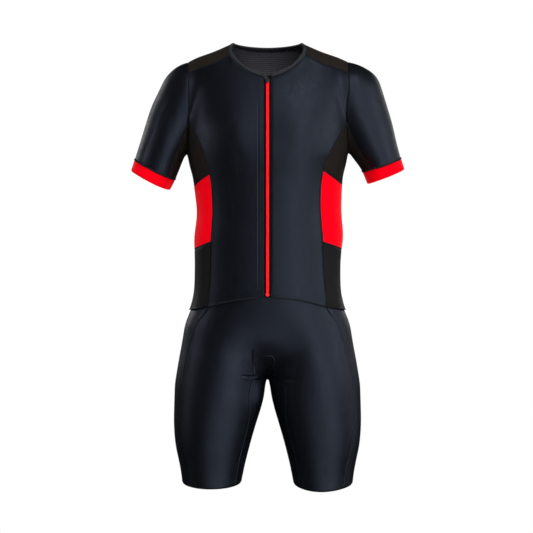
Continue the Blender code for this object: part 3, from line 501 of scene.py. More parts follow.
def cutEdges(sheet):
    # every open edge of a sheet in order, with the cloth on the left as seen from outside
    mesh = bmesh.new()
    mesh.from_mesh(sheet.data)
    mesh.normal_update()
    following = {}
    for edge in mesh.edges:
        if edge.is_boundary:
            loop = edge.link_loops[0]
            following[loop.vert] = loop.link_loop_next.vert
    runs = []
    while following:
        at, run = next(iter(following)), []
        while at in following:
            run.append((*at.co, *at.normal))
            at = following.pop(at)
        runs.append(np.array(run))
    mesh.free()
    return runs


def alongEdge(run, pitch):
    # places at a pitch in mm along a cut edge, with the ways out of the cloth, along it and inward
    spots = evenly(run, pitch * mm, closed=True)
    at, out = spots[:, :3], spots[:, 3:]
    along = unit(np.roll(at, -1, axis=0) - np.roll(at, 1, axis=0))
    return at, out, along, unit(np.cross(out, along))


def surfaceOf(thing):
    return BVHTree.FromPolygons(
        [v.co.copy() for v in thing.data.vertices], [tuple(p.vertices) for p in thing.data.polygons]
    )


foldLook = {
    "step": 4.0,  # mm between a line's places
    "finer": (3.6, 3.0),  # how many widths away the faces are halved, each time
    "offEdge": 3.2,  # mm from an open edge where they are left whole
    "ends": 0.06,  # how much of a line's fading lies past its ends
    "fade": 0.7,  # below 1 the fold keeps its depth nearly to its ends
    "ridge": 0.3,  # height of the ridges beside the trough, as a share of its depth
    "ridgeAt": 1.9,  # and how many widths out they run
}

# creases: the side they are drawn from, places across and up in mm, depth and half width in mm
folds = {
    "shortsFront": [
        ("front", [(-22, -678), (-34, -679), (-52, -675)], 1.5, 2.4),
        ("front", [(18, -680), (38, -684), (66, -683)], 0.9, 3.6),
        # the pad's outline, pressed through the cloth
        ("front", [(-29, -622), (-29, -650), (-27, -676)], 1.3, 1.7),
        ("front", [(-9, -635), (6, -635), (13, -638), (17, -646), (17, -662), (16, -678)], 1.1, 1.5),
    ],
    # the cloth's drag beside the zip
    "frontRight": [("front", [(-18.2, -120), (-18.2, -250), (-18.2, -380), (-18.0, -500)], 0.55, 1.3)],
    "frontLeft": [("front", [(8.6, -100), (8.6, -250), (8.6, -380), (8.6, -500)], 0.45, 1.2)],
    # slack at the small of the back and under the seat
    "backPanel": [
        ("back", [(-82, -452), (-30, -461), (28, -455)], 2.2, 6.5),
        ("back", [(-30, -478), (25, -484), (80, -474)], 1.8, 6.0),
        ("back", [(-64, -424), (-20, -431), (18, -428)], 1.3, 6.0),
    ],
    "shortsBack": [
        ("back", [(20, -703), (52, -713), (88, -704)], 2.4, 5.0),
        ("back", [(-20, -703), (-52, -713), (-88, -704)], 2.4, 5.0),
        ("back", [(30, -720), (58, -727), (84, -721)], 1.3, 4.5),
        ("back", [(-30, -720), (-58, -727), (-84, -721)], 1.3, 4.5),
    ],
}
seenFrom = {"front": Vector((0, -1, 0)), "back": Vector((0, 1, 0))}


def awayFrom(found, line):
    # how far each place is from a line of points, and how far along that line it lies, from 0 to 1
    line = np.array(line, float)
    lengths = np.linalg.norm(np.diff(line, axis=0), axis=1)
    before = np.concatenate([[0], np.cumsum(lengths)])
    away, along = np.full(len(found), np.inf), np.zeros(len(found))
    for i, run in enumerate(np.diff(line, axis=0)):
        share = np.clip((found - line[i]) @ run / (run @ run), 0, 1)
        near = np.linalg.norm(found - line[i] - share[:, None] * run, axis=1)
        closer = near < away
        away[closer] = near[closer]
        along[closer] = ((before[i] + share * lengths[i]) / before[-1])[closer]
    return away, along


def laidOn(surface, side, line):
    # a drawn line as places on the cloth, close together
    start, found = seenFrom[side], []
    drawn = np.array([(x, 0, z) for x, z in line], float) * mm
    for place in evenly(drawn, foldLook["step"] * mm):
        at = surface.ray_cast(Vector(place) + start, -start)[0]
        if at:
            found.append(at)
    return found


def refineNear(piece, lines):
    # smaller faces along the creases, so that a narrow trough has enough of them
    rim = np.concatenate([run[:, :3] for run in cutEdges(piece)])
    for reach in foldLook["finer"]:
        pick(piece)
        bpy.ops.object.mode_set(mode="EDIT")
        bpy.ops.mesh.select_mode(type="FACE")
        bpy.ops.mesh.select_all(action="DESELECT")
        mesh = bmesh.from_edit_mesh(piece.data)
        faces = list(mesh.faces)
        centres = np.array([face.calc_center_median() for face in faces])
        near = np.zeros(len(faces), bool)
        for line, _, width in lines:
            near |= awayFrom(centres, line)[0] < reach * width * mm
        for i in np.nonzero(near)[0]:
            if np.linalg.norm(rim - centres[i], axis=1).min() > foldLook["offEdge"] * mm:
                faces[i].select_set(True)
        bmesh.update_edit_mesh(piece.data)
        bpy.ops.mesh.subdivide(number_cuts=1)
        bpy.ops.mesh.select_mode(type="VERT")
        bpy.ops.object.mode_set(mode="OBJECT")


def pressFolds(piece, lines):
    # each fold is a soft trough along a line, with a low ridge on each side: depth and width in mm
    found, out = places(piece), normals(piece)
    move = np.zeros(len(found))
    ends = foldLook["ends"]
    for line, depth, width in lines:
        away, along = awayFrom(found, line)
        away /= width * mm
        fade = depth * mm * np.sin(np.pi * (ends + (1 - 2 * ends) * along)) ** foldLook["fade"]
        move -= fade * np.exp(-(away**2))
        move += foldLook["ridge"] * fade * np.exp(-((away - foldLook["ridgeAt"]) ** 2))
    movePlaces(piece, found + out * move[:, None])


# where the worn cloth is eased a little away from its pattern: centre, reach each way and move, in mm
nudges = [
    # shoulders, sleeves and cuffs
    ((222, 0, -72), (50, 300, 50), (8, 0, 3)),
    ((-215, 0, -85), (50, 300, 50), (5, 0, -2)),
    ((255, 0, -160), (50, 300, 50), (6, 0, 0)),
    ((195, 0, -265), (30, 300, 30), (3, 0, 8)),
    ((-220, 0, -280), (60, 300, 60), (3, 0, -10)),
    # waist, hips, a leg hem and the back of the neck
    ((150, 0, -360), (50, 300, 60), (7, 0, 0)),
    ((165, 0, -565), (40, 300, 35), (6, 0, 0)),
    ((-165, 0, -565), (40, 300, 35), (-6, 0, 0)),
    ((100, 0, -905), (60, 300, 60), (0, 0, -6)),
    ((0, 60, -5), (60, 40, 30), (0, 0, 3)),
    # the inner thigh under the crotch
    ((-15, -15, -726), (20, 50, 34), (1, -17, 0)),
    # the seam in front of the red panel at the wearer's left, and its upper corner
    ((112, -75, -335), (22, 60, 110), (-7, 0, 0)),
    ((112, -75, -262), (26, 60, 26), (0, 0, 8)),
    # the chest and the spine, which the thin cloth follows
    ((72, -110, -190), (42, 60, 52), (0, -5, 0)),
    ((-72, -110, -190), (42, 60, 52), (0, -5, 0)),
    ((0, 120, -350), (22, 50, 130), (0, -4, 0)),
]


def ease(piece):
    # the nudges, each fading out evenly from its centre
    found = places(piece)
    move = np.zeros_like(found)
    for centre, reach, step in nudges:
        away = (found - np.array(centre) * mm) / (np.array(reach) * mm)
        move += np.exp(-(away**2).sum(axis=1))[:, None] * np.array(step) * mm
    movePlaces(piece, found + move)


crotch = {
    # at each height, the share by which the cloth beside the middle line is drawn in
    "drawIn": (
        (-0.640, 0.0), (-0.672, 0.45), (-0.686, 0.82), (-0.704, 0.46),
        (-0.740, 0.22), (-0.800, 0.10), (-0.860, 0.0),
    ),
    # and how far from that line it is felt
    "reach": ((-0.690, 0.016), (-0.800, 0.055)),
}


def drawCrotchIn(piece):
    # brings the thighs together below the crotch, where the pattern's seam pulls the cloth into a point
    found = places(piece)
    readings = []
    for pairs in (crotch["drawIn"], crotch["reach"]):
        heights, values = zip(*pairs)
        readings.append(np.interp(-found[:, 2], [-height for height in heights], values))
    share, reach = readings
    found[:, 0] *= 1 - share * np.exp(-((found[:, 0] / reach) ** 2))
    movePlaces(piece, found)


# the height under which a panel's edge is the jersey's free hem
hemBelow = {
    "frontLeft": -0.508,
    "frontRight": -0.508,
    "sideLowerLeft": -0.524,
    "sideLowerRight": -0.524,
    "backPanel": -0.530,
}


def turnEdges(piece, hem, freeBelow):
    # a narrow band along every open edge, whose outer line goes down into the seam, or stands off at a hem
    editAll(piece)
    bpy.ops.mesh.inset(thickness=hem, use_boundary=True, use_even_offset=True)
    mesh = bmesh.from_edit_mesh(piece.data)
    mesh.normal_update()
    for face in mesh.faces:
        face.material_index = 0 if face.select else 1
    moves = []
    for vertex in mesh.verts:
        if vertex.is_boundary:
            inner = [edge.other_vert(vertex).co for edge in vertex.link_edges if not edge.is_boundary]
            past = vertex.co - sum(inner, Vector()) / len(inner) if inner else Vector()
            down = clothWall["sink"] if vertex.co.z > freeBelow else -clothWall["hemLift"]
            moves.append((vertex, past.normalized() * clothWall["lap"] - vertex.normal * down))
    for vertex, move in moves:
        vertex.co += move
    bmesh.update_edit_mesh(piece.data)
    bpy.ops.object.mode_set(mode="OBJECT")


def finishCloth(piece, facts):
    # the wall's thickness, the cloth and its edging, the garment body it hangs from, and its solid hidden
    for cloth in (facts["cloth"], facts.get("edging", facts["cloth"]), facts.get("inside", facts["cloth"])):
        piece.data.materials.append(cloth)
    applyModifier(piece, "SOLIDIFY", thickness=clothWall["thickness"], offset=-1, material_offset=2)
    shadeSmooth(piece)
    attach(piece, "garment")
    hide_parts(facts["node"])


# what each panel is: its solid, the lines inside it, its cloth and edging, the flat size of its cut in
# metres with the share of that rectangle that it fills, and where it differs from clothWall
# a solid whose name ends in an underscore is there twice, for the left side and the right
patterns = {
    "front": {
        "node": "front_", "bones": trunkBones, "cloth": navyKnit, "edging": seamThread,
        "slot": "black_lycra", "flat": (0.165, 0.50), "share": 0.72,
    },
    "backPanel": {
        "node": "back", "bones": trunkBones, "cloth": blackMesh, "inside": meshInsidePaintedLit,
        "slot": "black_mesh", "flat": (0.42, 0.62), "share": 0.61,
    },
    "shortsFront": {
        "node": "shorts_front", "bones": legBones, "cloth": navyKnit,
        "slot": "black_lycra", "flat": (0.41, 0.39), "share": 0.72, "levels": 3,
    },
    "shortsBack": {
        "node": "shorts_back", "bones": legBones, "cloth": navyKnit,
        "slot": "black_lycra", "flat": (0.42, 0.39), "share": 0.70,
    },
    "innerThigh": {
        "node": "shorts_gusset", "bones": legBones, "cloth": navyKnit,
        "slot": "black_lycra", "flat": (0.14, 0.44), "share": 0.78,
    },
    "sideMesh": {
        "node": "side_mesh_", "bones": trunkBones, "cloth": blackMesh,
        "slot": "black_mesh", "flat": (0.19, 0.12), "share": 0.68,
    },
    "sideRed": {
        "node": "side_red_", "bones": trunkBones, "cloth": redKnit, "edging": seamThread,
        "slot": "red_lycra", "flat": (0.18, 0.15), "share": 0.90, "hem": 2.8 * mm,
    },
    "sideLower": {
        "node": "side_lower_", "bones": trunkBones, "cloth": sideKnit,
        "slot": "black_lycra", "flat": (0.17, 0.135), "share": 0.90,
    },
    "sleeve": {
        "node": "sleeve_", "bones": armBones, "cloth": navyKnit,
        "slot": "black_lycra", "flat": (0.235, 0.225), "share": 0.86,
    },
    "sleeveGusset": {
        "node": "sleeve_gusset_", "bones": armBones, "cloth": blackMesh,
        "slot": "black_mesh", "flat": (0.14, 0.10), "share": 0.48,
    },
    "cuff": {
        "node": "cuff_", "bones": armBones, "cloth": redElastic, "ring": True, "solid": 1.9 * mm,
        "slot": "red_lycra", "flat": (0.28, 0.022), "share": 1.0,
    },
    "shortsSide": {
        "node": "shorts_side_", "bones": legBones, "cloth": navyKnit,
        "slot": "black_lycra", "flat": (0.16, 0.40), "share": 0.75,
    },
    "zipTape": {
        "node": "zip_tape_", "bones": trunkBones, "cloth": zipTapeCloth, "solid": 1.0 * mm,
        "slot": "zip_tape", "flat": (0.014, 0.44), "share": 1.0,
    },
}
panels = {}
for name, facts in patterns.items():
    for side in ("Left", "Right") if facts["node"].endswith("_") else ("",):
        panels[name + side] = {**clothWall, **facts, "node": facts["node"] + side.lower()}


def makePanel(name, facts):
    sheet = copyOfNode(facts["node"], name)
    outerFace(sheet, facts["solid"], facts["bones"])
    if "ring" in facts:
        tubeUv(sheet, facts["bones"])
    else:
        unwrapCloth(sheet)
    smoothThrough(sheet, facts["levels"])
    if name in folds:
        surface = surfaceOf(sheet)
        lines = [(laidOn(surface, side, line), depth, width) for side, line, depth, width in folds[name]]
        refineNear(sheet, lines)
        pressFolds(sheet, lines)
    ease(sheet)
    if name.startswith(("shorts", "innerThigh")):
        drawCrotchIn(sheet)
    # the cut edges and the face, which the sewing follows
    facts["runs"], facts["surface"] = cutEdges(sheet), surfaceOf(sheet)
    turnEdges(sheet, facts["hem"], hemBelow.get(name, -math.inf))
    finishCloth(sheet, facts)


for name, facts in panels.items():
    makePanel(name, facts)
print("cloth made")

# sewing: flatlock stitches inside each cut edge, and rows beside the zip and along the hems

stitchLook = {
    "pitch": 2.6,
    "inside": 1.9,  # mm from the cut edge
    "size": (2.1, 0.55, 0.4),  # length, width and height of one stitch
    "lift": 0.05,
    "clear": 0.8,  # how near another edge may be, as a share of the distance from its own
}


def stitchRow(facts, inside, pitch, keep=None):
    # places at one distance inside the cut edges, each with its way along and out of the cloth
    rows = []
    rim = np.concatenate([run[:, :3] for run in facts["runs"]])
    for run in facts["runs"]:
        spots, _, along, inward = alongEdge(run, pitch)
        for place, way, turn in zip(spots, along, inward):
            at, out, _, _ = facts["surface"].find_nearest(Vector(place + turn * inside * mm))
            clearance = np.linalg.norm(rim - np.array(at), axis=1).min()
            if clearance > stitchLook["clear"] * inside * mm and (keep is None or keep(at, way)):
                rows.append((*at, *way, *out))
    return np.array(rows).reshape(-1, 9)


def roundShape(subdivisions):
    # a ball of unit size, modelled once and then repeated
    deselectAll()
    bpy.ops.mesh.primitive_ico_sphere_add(subdivisions=subdivisions, radius=0.5)
    ball = bpy.context.object
    corners, faces = places(ball), [tuple(polygon.vertices) for polygon in ball.data.polygons]
    bpy.data.objects.remove(ball)
    return corners, faces


stitchBead, toothBall = roundShape(1), roundShape(2)


def repeatShape(name, shape, rows, size, lift=0.0):
    # the shape at every row's place, turned along its way, as one mesh
    corners, faces = shape
    place, along, out = rows[:, :3], unit(rows[:, 3:6]), rows[:, 6:9]
    across = unit(np.cross(out, along))
    out = np.cross(along, across)
    length, width, height = (v * mm for v in size)
    spread = (
        place[:, None]
        + along[:, None] * (corners[:, 0] * length)[None, :, None]
        + across[:, None] * (corners[:, 1] * width)[None, :, None]
        + out[:, None] * (corners[:, 2] * height + lift * mm)[None, :, None]
    )
    count = len(corners)
    sides = [tuple(v + i * count for v in face) for i in range(len(rows)) for face in faces]
    mesh = bpy.data.meshes.new(name)
    mesh.from_pydata(spread.reshape(-1, 3), [], sides)
    piece = newPiece(name, mesh)
    shadeSmooth(piece)
    return piece


def dress(piece, material, slot, body="garment", *nodes):
    piece.data.materials.clear()
    piece.data.materials.append(material)
    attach(piece, body)
    if nodes:
        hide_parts(*nodes)


def sewOn(name, rows, wide=1.0):
    length, width, height = stitchLook["size"]
    row = repeatShape(name, stitchBead, rows, (length, width * wide, height), stitchLook["lift"])
    dress(row, darkThread, "black_lycra")


for name, facts in panels.items():
    if not name.startswith(("cuff", "zipTape")):
        sewOn(name + "Stitches", stitchRow(facts, stitchLook["inside"], stitchLook["pitch"]))

zipRows = {
    "insides": {"frontRight": (3.0, 9.3), "frontLeft": (3.4,)},  # mm from the front's cut edge
    "pitch": 2.4,
    "wide": 2.4,
    "reach": 0.020,  # metres from the middle line that they keep within
    "below": -0.085,
}
for name, insides in zipRows["insides"].items():
    for letter, inside in zip("AB", insides):
        besideZip = stitchRow(
            panels[name],
            inside,
            zipRows["pitch"],
            lambda at, way: abs(at.x) < zipRows["reach"] and at.z < zipRows["below"],
        )
        sewOn(name + "ZipRow" + letter, besideZip, zipRows["wide"])

hemRow = {
    "inside": 4.5,
    "pitch": 2.6,
    "wide": 1.8,
    "steepest": 0.6,  # an edge that climbs faster than this along its way is a seam, not a hem
}


def levelBelow(height):
    # keeps the places of a hem under this height
    return lambda at, way: at.z < height and abs(way[2]) < hemRow["steepest"]


for name, height in hemBelow.items():
    row = stitchRow(panels[name], hemRow["inside"], hemRow["pitch"], levelBelow(height))
    sewOn(name + "HemRow", row, hemRow["wide"])

bartack = {
    "from": (-0.0215, -0.511),
    "to": (-0.0095, -0.5035),
    "stitches": 15,
    "size": (2.6, 0.7, 0.6),
    "lift": 0.1,
}


def sewBartack():
    # the short slanting bar of close stitches at the foot of the zip
    rows = []
    start, end = np.array(bartack["from"]), np.array(bartack["to"])
    for share in np.linspace(0, 1, bartack["stitches"]):
        x, z = start + (end - start) * share
        at, out, _, _ = panels["frontRight"]["surface"].ray_cast(Vector((x, -1, z)), Vector((0, 1, 0)))
        rows.append((*at, start[1] - end[1], 0, end[0] - start[0], *out))
    piece = repeatShape("zipBartack", stitchBead, np.array(rows), bartack["size"], bartack["lift"])
    dress(piece, darkThread, "black_lycra")


sewBartack()

# rows of silicone dots inside the leg hems
gripper = {
    "insides": (7.0, 12.0, 17.0),  # mm from the cut edge
    "pitch": 6.0,
    "size": (2.8, 2.8, 0.9),
    "lift": -1.15,  # down through the cloth to its inner side
    "top": -0.868,  # height in metres that they keep under
}
for name in ("shortsFront", "shortsBack", "shortsSideLeft", "shortsSideRight", "innerThigh"):
    dots = [
        stitchRow(panels[name], inside, gripper["pitch"], levelBelow(gripper["top"]))
        for inside in gripper["insides"]
    ]
    rows = repeatShape(name + "Gripper", stitchBead, np.concatenate(dots), gripper["size"], gripper["lift"])
    dress(rows, dotSilicone, "black_lycra")
print("sewing done")

# neck binding, cuff welts, zip and pad


def roundedCopy(node, name, width, levels=0, segments=3, sharp=50, foldIn=0):
    # a solid's own form with its edges rounded and its facets smoothed away
    piece = copyOfNode(node, name)
    bpy.ops.object.mode_set(mode="OBJECT")
    if foldIn:
        for vertex in piece.data.vertices:
            out = outFrom(vertex.co, trunkBones)
            if vertex.normal.dot(out) < 0:
                vertex.co -= out * foldIn * mm
    limit = {"limit_method": "ANGLE", "angle_limit": math.radians(sharp)}
    applyModifier(piece, "BEVEL", width=width * mm, segments=segments, **limit)
    if levels:
        applyModifier(piece, "SUBSURF", levels=levels, render_levels=levels)
    shadeSmooth(piece)
    return piece


bindingLook = {
    "round": 1.5,
    "foldIn": 2.3,  # how much further in the inner side of the fold lies
    "swell": 0.25,  # mm that it stands fuller than its solid
    "rowBeyond": 2.2,  # mm from the neck's cut edge to its stitches
    "rowLift": 0.6,
    "rowWithin": 1.0,  # a stitch that finds the binding no nearer than this is left out
    "rowFacing": 0.7,  # nor one whose face turns further from the panel's than this cosine
    "pitch": 2.4,
}


def makeBinding():
    # one strip folded over the edge, so it shows inside as well
    look = bindingLook
    strip = roundedCopy("neck_binding", "neckBinding", look["round"], levels=1, foldIn=look["foldIn"])
    movePlaces(strip, places(strip) + normals(strip) * look["swell"] * mm)
    ease(strip)
    dress(strip, bindingKnitPaintedLit, "black_lycra", "garment", "neck_binding")
    surface, rows = surfaceOf(strip), []
    for name in ("frontLeft", "frontRight", "backPanel"):
        for run in panels[name]["runs"]:
            for place, out, way, turn in zip(*alongEdge(run, look["pitch"])):
                past = Vector(place - turn * look["rowBeyond"] * mm + out * look["rowLift"] * mm)
                at, face, _, away = surface.find_nearest(past)
                if away < look["rowWithin"] * mm and face.dot(Vector(out)) > look["rowFacing"]:
                    rows.append((*at, *way, *face))
    sewOn("neckBindingRow", np.array(rows))


makeBinding()

weltLook = {
    "radius": 1.9,
    "above": 1.7,  # mm from the cuff's upper edge to the middle of the welt
    "sunk": 0.55,
    "pitch": 3.0,
}


def makeWelt(side):
    # the rounded overlocked seam between a sleeve and its cuff
    run = max(panels["cuff" + side]["runs"], key=lambda run: run[:, 2].mean())
    spots, out, _, inward = alongEdge(run, weltLook["pitch"])
    line = spots - inward * weltLook["above"] * mm - out * weltLook["sunk"] * mm
    curve = bpy.data.curves.new("cuffWelt" + side, "CURVE")
    curve.dimensions = "3D"
    curve.bevel_depth = weltLook["radius"] * mm
    curve.bevel_resolution = 3
    spline = curve.splines.new("POLY")
    spline.points.add(len(line) - 1)
    for point, place in zip(spline.points, line):
        point.co = (*place, 1)
    spline.use_cyclic_u = True
    pick(newPiece("cuffWelt" + side, curve))
    bpy.ops.object.convert(target="MESH")
    bpy.ops.object.shade_smooth()
    dress(bpy.context.object, seamThread, "black_lycra")


for side in ("Left", "Right"):
    makeWelt(side)

zipLook = {
    "round": 0.5,
    "coreShrink": 0.45,  # how far the core lies under its solid, so that the teeth stand out
    "topSlice": 3.0,  # how far from the coil's end its last places reach
    "reachUp": 3.2,  # how far the coil goes on under the slider
    "pitch": 1.4,
    "tooth": (3.2, 0.95, 1.0),
    "toothLift": -0.15,
    "rowShift": 1.35,  # from the middle line to each row of teeth
    "stagger": 0.25,  # how far the two rows are out of step, each way, as a share of the pitch
    "lean": 14,  # degrees that each turn of the coil slopes
}


def makeCoil():
    # two rows of slanting nylon loops that mesh along the middle, over a red core
    core = roundedCopy("zip_chain", "zipCore", zipLook["round"], segments=2)
    found = places(core)
    slab = zipLook["topSlice"] * mm
    end = found[:, 2] > found[:, 2].max() - slab
    before = ~end & (found[:, 2] > found[~end, 2].max() - slab)
    rise = found[end].mean(axis=0) - found[before].mean(axis=0)
    found[end] += rise / rise[2] * zipLook["reachUp"] * mm
    movePlaces(core, found)
    surface = surfaceOf(core)
    movePlaces(core, places(core) - normals(core) * zipLook["coreShrink"] * mm)
    dress(core, coilNylon, "red_nylon", "garment", "zip_chain")
    low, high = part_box("zip_chain")
    rows, lean = [], math.radians(zipLook["lean"])
    count = int((high[2] - low[2] + zipLook["reachUp"] * mm) / (zipLook["pitch"] * mm))
    for i in range(count):
        for side in (-1, 1):
            z = low[2] + (i + 0.5 + zipLook["stagger"] * side) * zipLook["pitch"] * mm
            start = Vector((side * zipLook["rowShift"] * mm, -1, z))
            at, out, _, _ = surface.ray_cast(start, Vector((0, 1, 0)))
            if at:
                rows.append((*at, math.cos(lean), 0, side * math.sin(lean), *out))
    teeth = repeatShape("zipTeeth", toothBall, np.array(rows), zipLook["tooth"], zipLook["toothLift"])
    dress(teeth, coilNylon, "red_nylon")


makeCoil()

stopLook = {
    "sides": 40,
    "thick": 2.2,
    "swell": 1.1,  # its width against the solid's
    "rim": 1.0,
    "dish": 0.5,
    "pin": 0.7,  # height of the pin in the middle, as a share of the dish
    "round": 0.35,
}


def makeStop():
    # the round moulded stop: a dished button with a small pin in the middle
    low, high = (Vector(corner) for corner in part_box("zip_stop"))
    solid = frame["nodes"]["zip_stop"]
    front = max((p for p in solid.data.polygons if p.normal.y < -0.5), key=lambda p: p.area)
    deselectAll()
    bpy.ops.mesh.primitive_cylinder_add(
        vertices=stopLook["sides"],
        radius=(high.x - low.x) / 2 * stopLook["swell"],
        depth=stopLook["thick"] * mm,
        location=(low + high) / 2,
        rotation=front.normal.to_track_quat("Z", "Y").to_euler(),
    )
    button = bpy.context.object
    button.name = "zipStop"
    bpy.ops.object.mode_set(mode="EDIT")
    mesh = bmesh.from_edit_mesh(button.data)
    for face in mesh.faces:
        face.select_set(face.normal.z > 0.9)  # its front
    bmesh.update_edit_mesh(button.data)
    sink = -(front.normal * stopLook["dish"] * mm)
    for step in (sink, -sink * stopLook["pin"]):
        bpy.ops.mesh.inset(thickness=stopLook["rim"] * mm)
        bpy.ops.transform.translate(value=step)
    bpy.ops.object.mode_set(mode="OBJECT")
    bpy.ops.object.transform_apply(location=True, rotation=True, scale=True)
    limit = {"limit_method": "ANGLE", "angle_limit": math.radians(40)}
    applyModifier(button, "BEVEL", width=stopLook["round"] * mm, segments=3, **limit)
    bpy.ops.object.shade_smooth_by_angle(angle=math.radians(60))
    dress(button, coilNylon, "red_nylon", "garment", "zip_stop")


makeStop()

sliderLook = {
    "round": 0.35,
    "shorten": 3.0,  # how far its lower end is drawn up
    "sharp": 30,  # degrees between faces, above which an edge is rounded
}


def makeSlider():
    # the enamelled body, its lower half drawn up so that the coil shows under it
    body = roundedCopy("zip_slider", "zipSlider", sliderLook["round"], sharp=sliderLook["sharp"])
    found = places(body)
    low, high = found[:, 2].min(), found[:, 2].max()
    found[:, 2] += np.clip((low + high - 2 * found[:, 2]) / (high - low), 0, 1) * sliderLook["shorten"] * mm
    movePlaces(body, found)
    dress(body, blackEnamel, "zip_metal", "garment", "zip_slider")


makeSlider()

tabLook = {
    "round": 0.3,
    "ridges": 5,
    "ridge": (4.6, 0.9, 0.7),
    "span": (0.42, 0.88),  # where the ridges begin and end, as shares of the way to the tip
}


def makeTab():
    # the tab on its bridge, free to swing
    tab = roundedCopy("zip_pull_tab", "zipPullTab", tabLook["round"], sharp=sliderLook["sharp"])
    dress(tab, blackEnamel, "zip_metal", "pull_tab", "zip_pull_tab")
    # ridges for the fingers, on both of its faces
    joint = frame["joints"][0]
    hinge, axis = np.array(joint["pos_m"]), np.array(joint["axis"])
    found = places(tab) - hinge
    tip = found[np.argmax(np.linalg.norm(found, axis=1))]
    up = tip - axis * (tip @ axis)
    reach = np.linalg.norm(up)
    up /= reach
    out = np.cross(axis, up)
    surface, rows = surfaceOf(tab), []
    for share in np.linspace(*tabLook["span"], tabLook["ridges"]):
        middle = hinge + up * reach * share
        for side in (out, -out):
            at = surface.ray_cast(Vector(middle + side * 20 * mm), Vector(-side))[0]
            if at:
                rows.append((*at, *axis, *side))
    ridges = repeatShape("zipPullRidges", stitchBead, np.array(rows), tabLook["ridge"])
    dress(ridges, blackEnamel, "zip_metal", "pull_tab")


makeTab()

padLook = {
    "round": 1.2,
    "levels": 2,
    "centre": (0, 0.010, -0.600),  # inside the crotch, where the pad's sections are counted from
    "channels": [
        # distance from the middle line, degrees forward of straight down at both ends, depth and width
        (0.0, -66, 48, 1.3, 3.0),
        (0.018, -58, 30, 1.0, 2.4),
        (-0.018, -58, 30, 1.0, 2.4),
        (0.032, -64, -34, 0.9, 2.4),
        (-0.032, -64, -34, 0.9, 2.4),
    ],
    "steps": 15,  # places along a channel
    "inward": 2.0,  # mm that they are moved on from the inner face towards the middle of the pad
}


def makePad():
    # a thin moulded pad: fleece over foam with pressed channels
    pad = roundedCopy("seat_pad", "seatPad", padLook["round"], padLook["levels"])
    surface, centre = surfaceOf(pad), Vector(padLook["centre"])
    channels = []
    for across, back, ahead, depth, width in padLook["channels"]:
        line = []
        for turn in np.radians(np.linspace(back, ahead, padLook["steps"])):
            start = centre + Vector((across, 0, 0))
            at = surface.ray_cast(start, Vector((0, -math.sin(turn), -math.cos(turn))))[0]
            if at:
                line.append(at + (at - start).normalized() * padLook["inward"] * mm)
        if len(line) > 2:
            channels.append((line, depth, width))
    pressFolds(pad, channels)
    drawCrotchIn(pad)
    dress(pad, padFleece, "pad_fleece", "garment", "seat_pad")


makePad()
print("trims made")

# studio

studio = {
    "floorHeight": -1.45,  # where the wearer's feet would be
    "floorHalf": 9.0,
    "bend": 2.5,
    "bendSteps": 20,
    "wallStart": 4.5,  # from the suit back to where the paper starts to bend up
    "wallHeight": 7.0,
    "paper": "#f7f7f7",
    "paperRoughness": 0.95,
    "paperSpecular": 0.1,
    "surround": 16.0,
    "surroundPaper": "#ffffff",
    "world": "#e9edf5",
    "worldStrength": 0.01,
}


def makeBackdrop():
    # one roll of pale paper: a floor that bends up into a wall behind the suit
    half, floor = studio["floorHalf"], studio["floorHeight"]
    middle = (studio["wallStart"] - half) / 2
    deselectAll()
    bpy.ops.mesh.primitive_plane_add(size=1, location=(0, middle, floor))
    backdrop = bpy.context.object
    backdrop.name = "studioBackdrop"
    backdrop.scale = (2 * half, studio["wallStart"] + half, 1)
    bpy.ops.object.transform_apply(location=True, scale=True)
    bpy.ops.object.mode_set(mode="EDIT")
    bpy.ops.mesh.select_mode(type="EDGE")
    bpy.ops.mesh.select_all(action="DESELECT")
    mesh = bmesh.from_edit_mesh(backdrop.data)
    for edge in mesh.edges:
        edge.select_set(all(v.co.y > studio["wallStart"] - 0.01 for v in edge.verts))
    bmesh.update_edit_mesh(backdrop.data)
    chord = 2 * studio["bend"] * math.sin(math.pi / 4 / studio["bendSteps"])
    for i in range(studio["bendSteps"]):
        turn = math.pi / 2 * (i + 0.5) / studio["bendSteps"]
        step = (0, chord * math.cos(turn), chord * math.sin(turn))
        bpy.ops.mesh.extrude_edges_move(TRANSFORM_OT_translate={"value": step})
    bpy.ops.mesh.extrude_edges_move(TRANSFORM_OT_translate={"value": (0, 0, studio["wallHeight"])})
    bpy.ops.object.mode_set(mode="OBJECT")
    bpy.ops.object.shade_smooth()
    # rolled paper: pale and quite matt
    material, tree, shader = startMaterial("matPaperRoll")
    finish = {
        "Base Color": hexColour(studio["paper"]),
        "Roughness": studio["paperRoughness"],
        "Specular IOR Level": studio["paperSpecular"],
    }
    setInputs(tree, shader, finish)
    backdrop.data.materials.append(material)
    backdrop.visible_glossy = False  # no pale rim along the suit's edges
    backdrop.visible_camera = False  # the far paper is seen in its place, from every side


def makeSurround():
    # far white paper all round, so that no side has a dark room behind it: seen, but lighting nothing
    deselectAll()
    bpy.ops.mesh.primitive_uv_sphere_add(segments=48, ring_count=24, radius=studio["surround"])
    surround = bpy.context.object
    surround.name = "studioSurround"
    editAll(surround)
    bpy.ops.mesh.flip_normals()
    bpy.ops.object.mode_set(mode="OBJECT")
    bpy.ops.object.shade_smooth()
    # white paper lit so evenly that only its own white is seen
    material, tree, shader = startMaterial("litPaperSurround")
    finish = {
        "Base Color": hexColour("#000000"),
        "Specular IOR Level": 0.0,
        "Emission Color": hexColour(studio["surroundPaper"]),
        "Emission Strength": 1.0,
    }
    setInputs(tree, shader, finish)
    surround.data.materials.append(material)
    surround.visible_diffuse = surround.visible_glossy = surround.visible_shadow = False


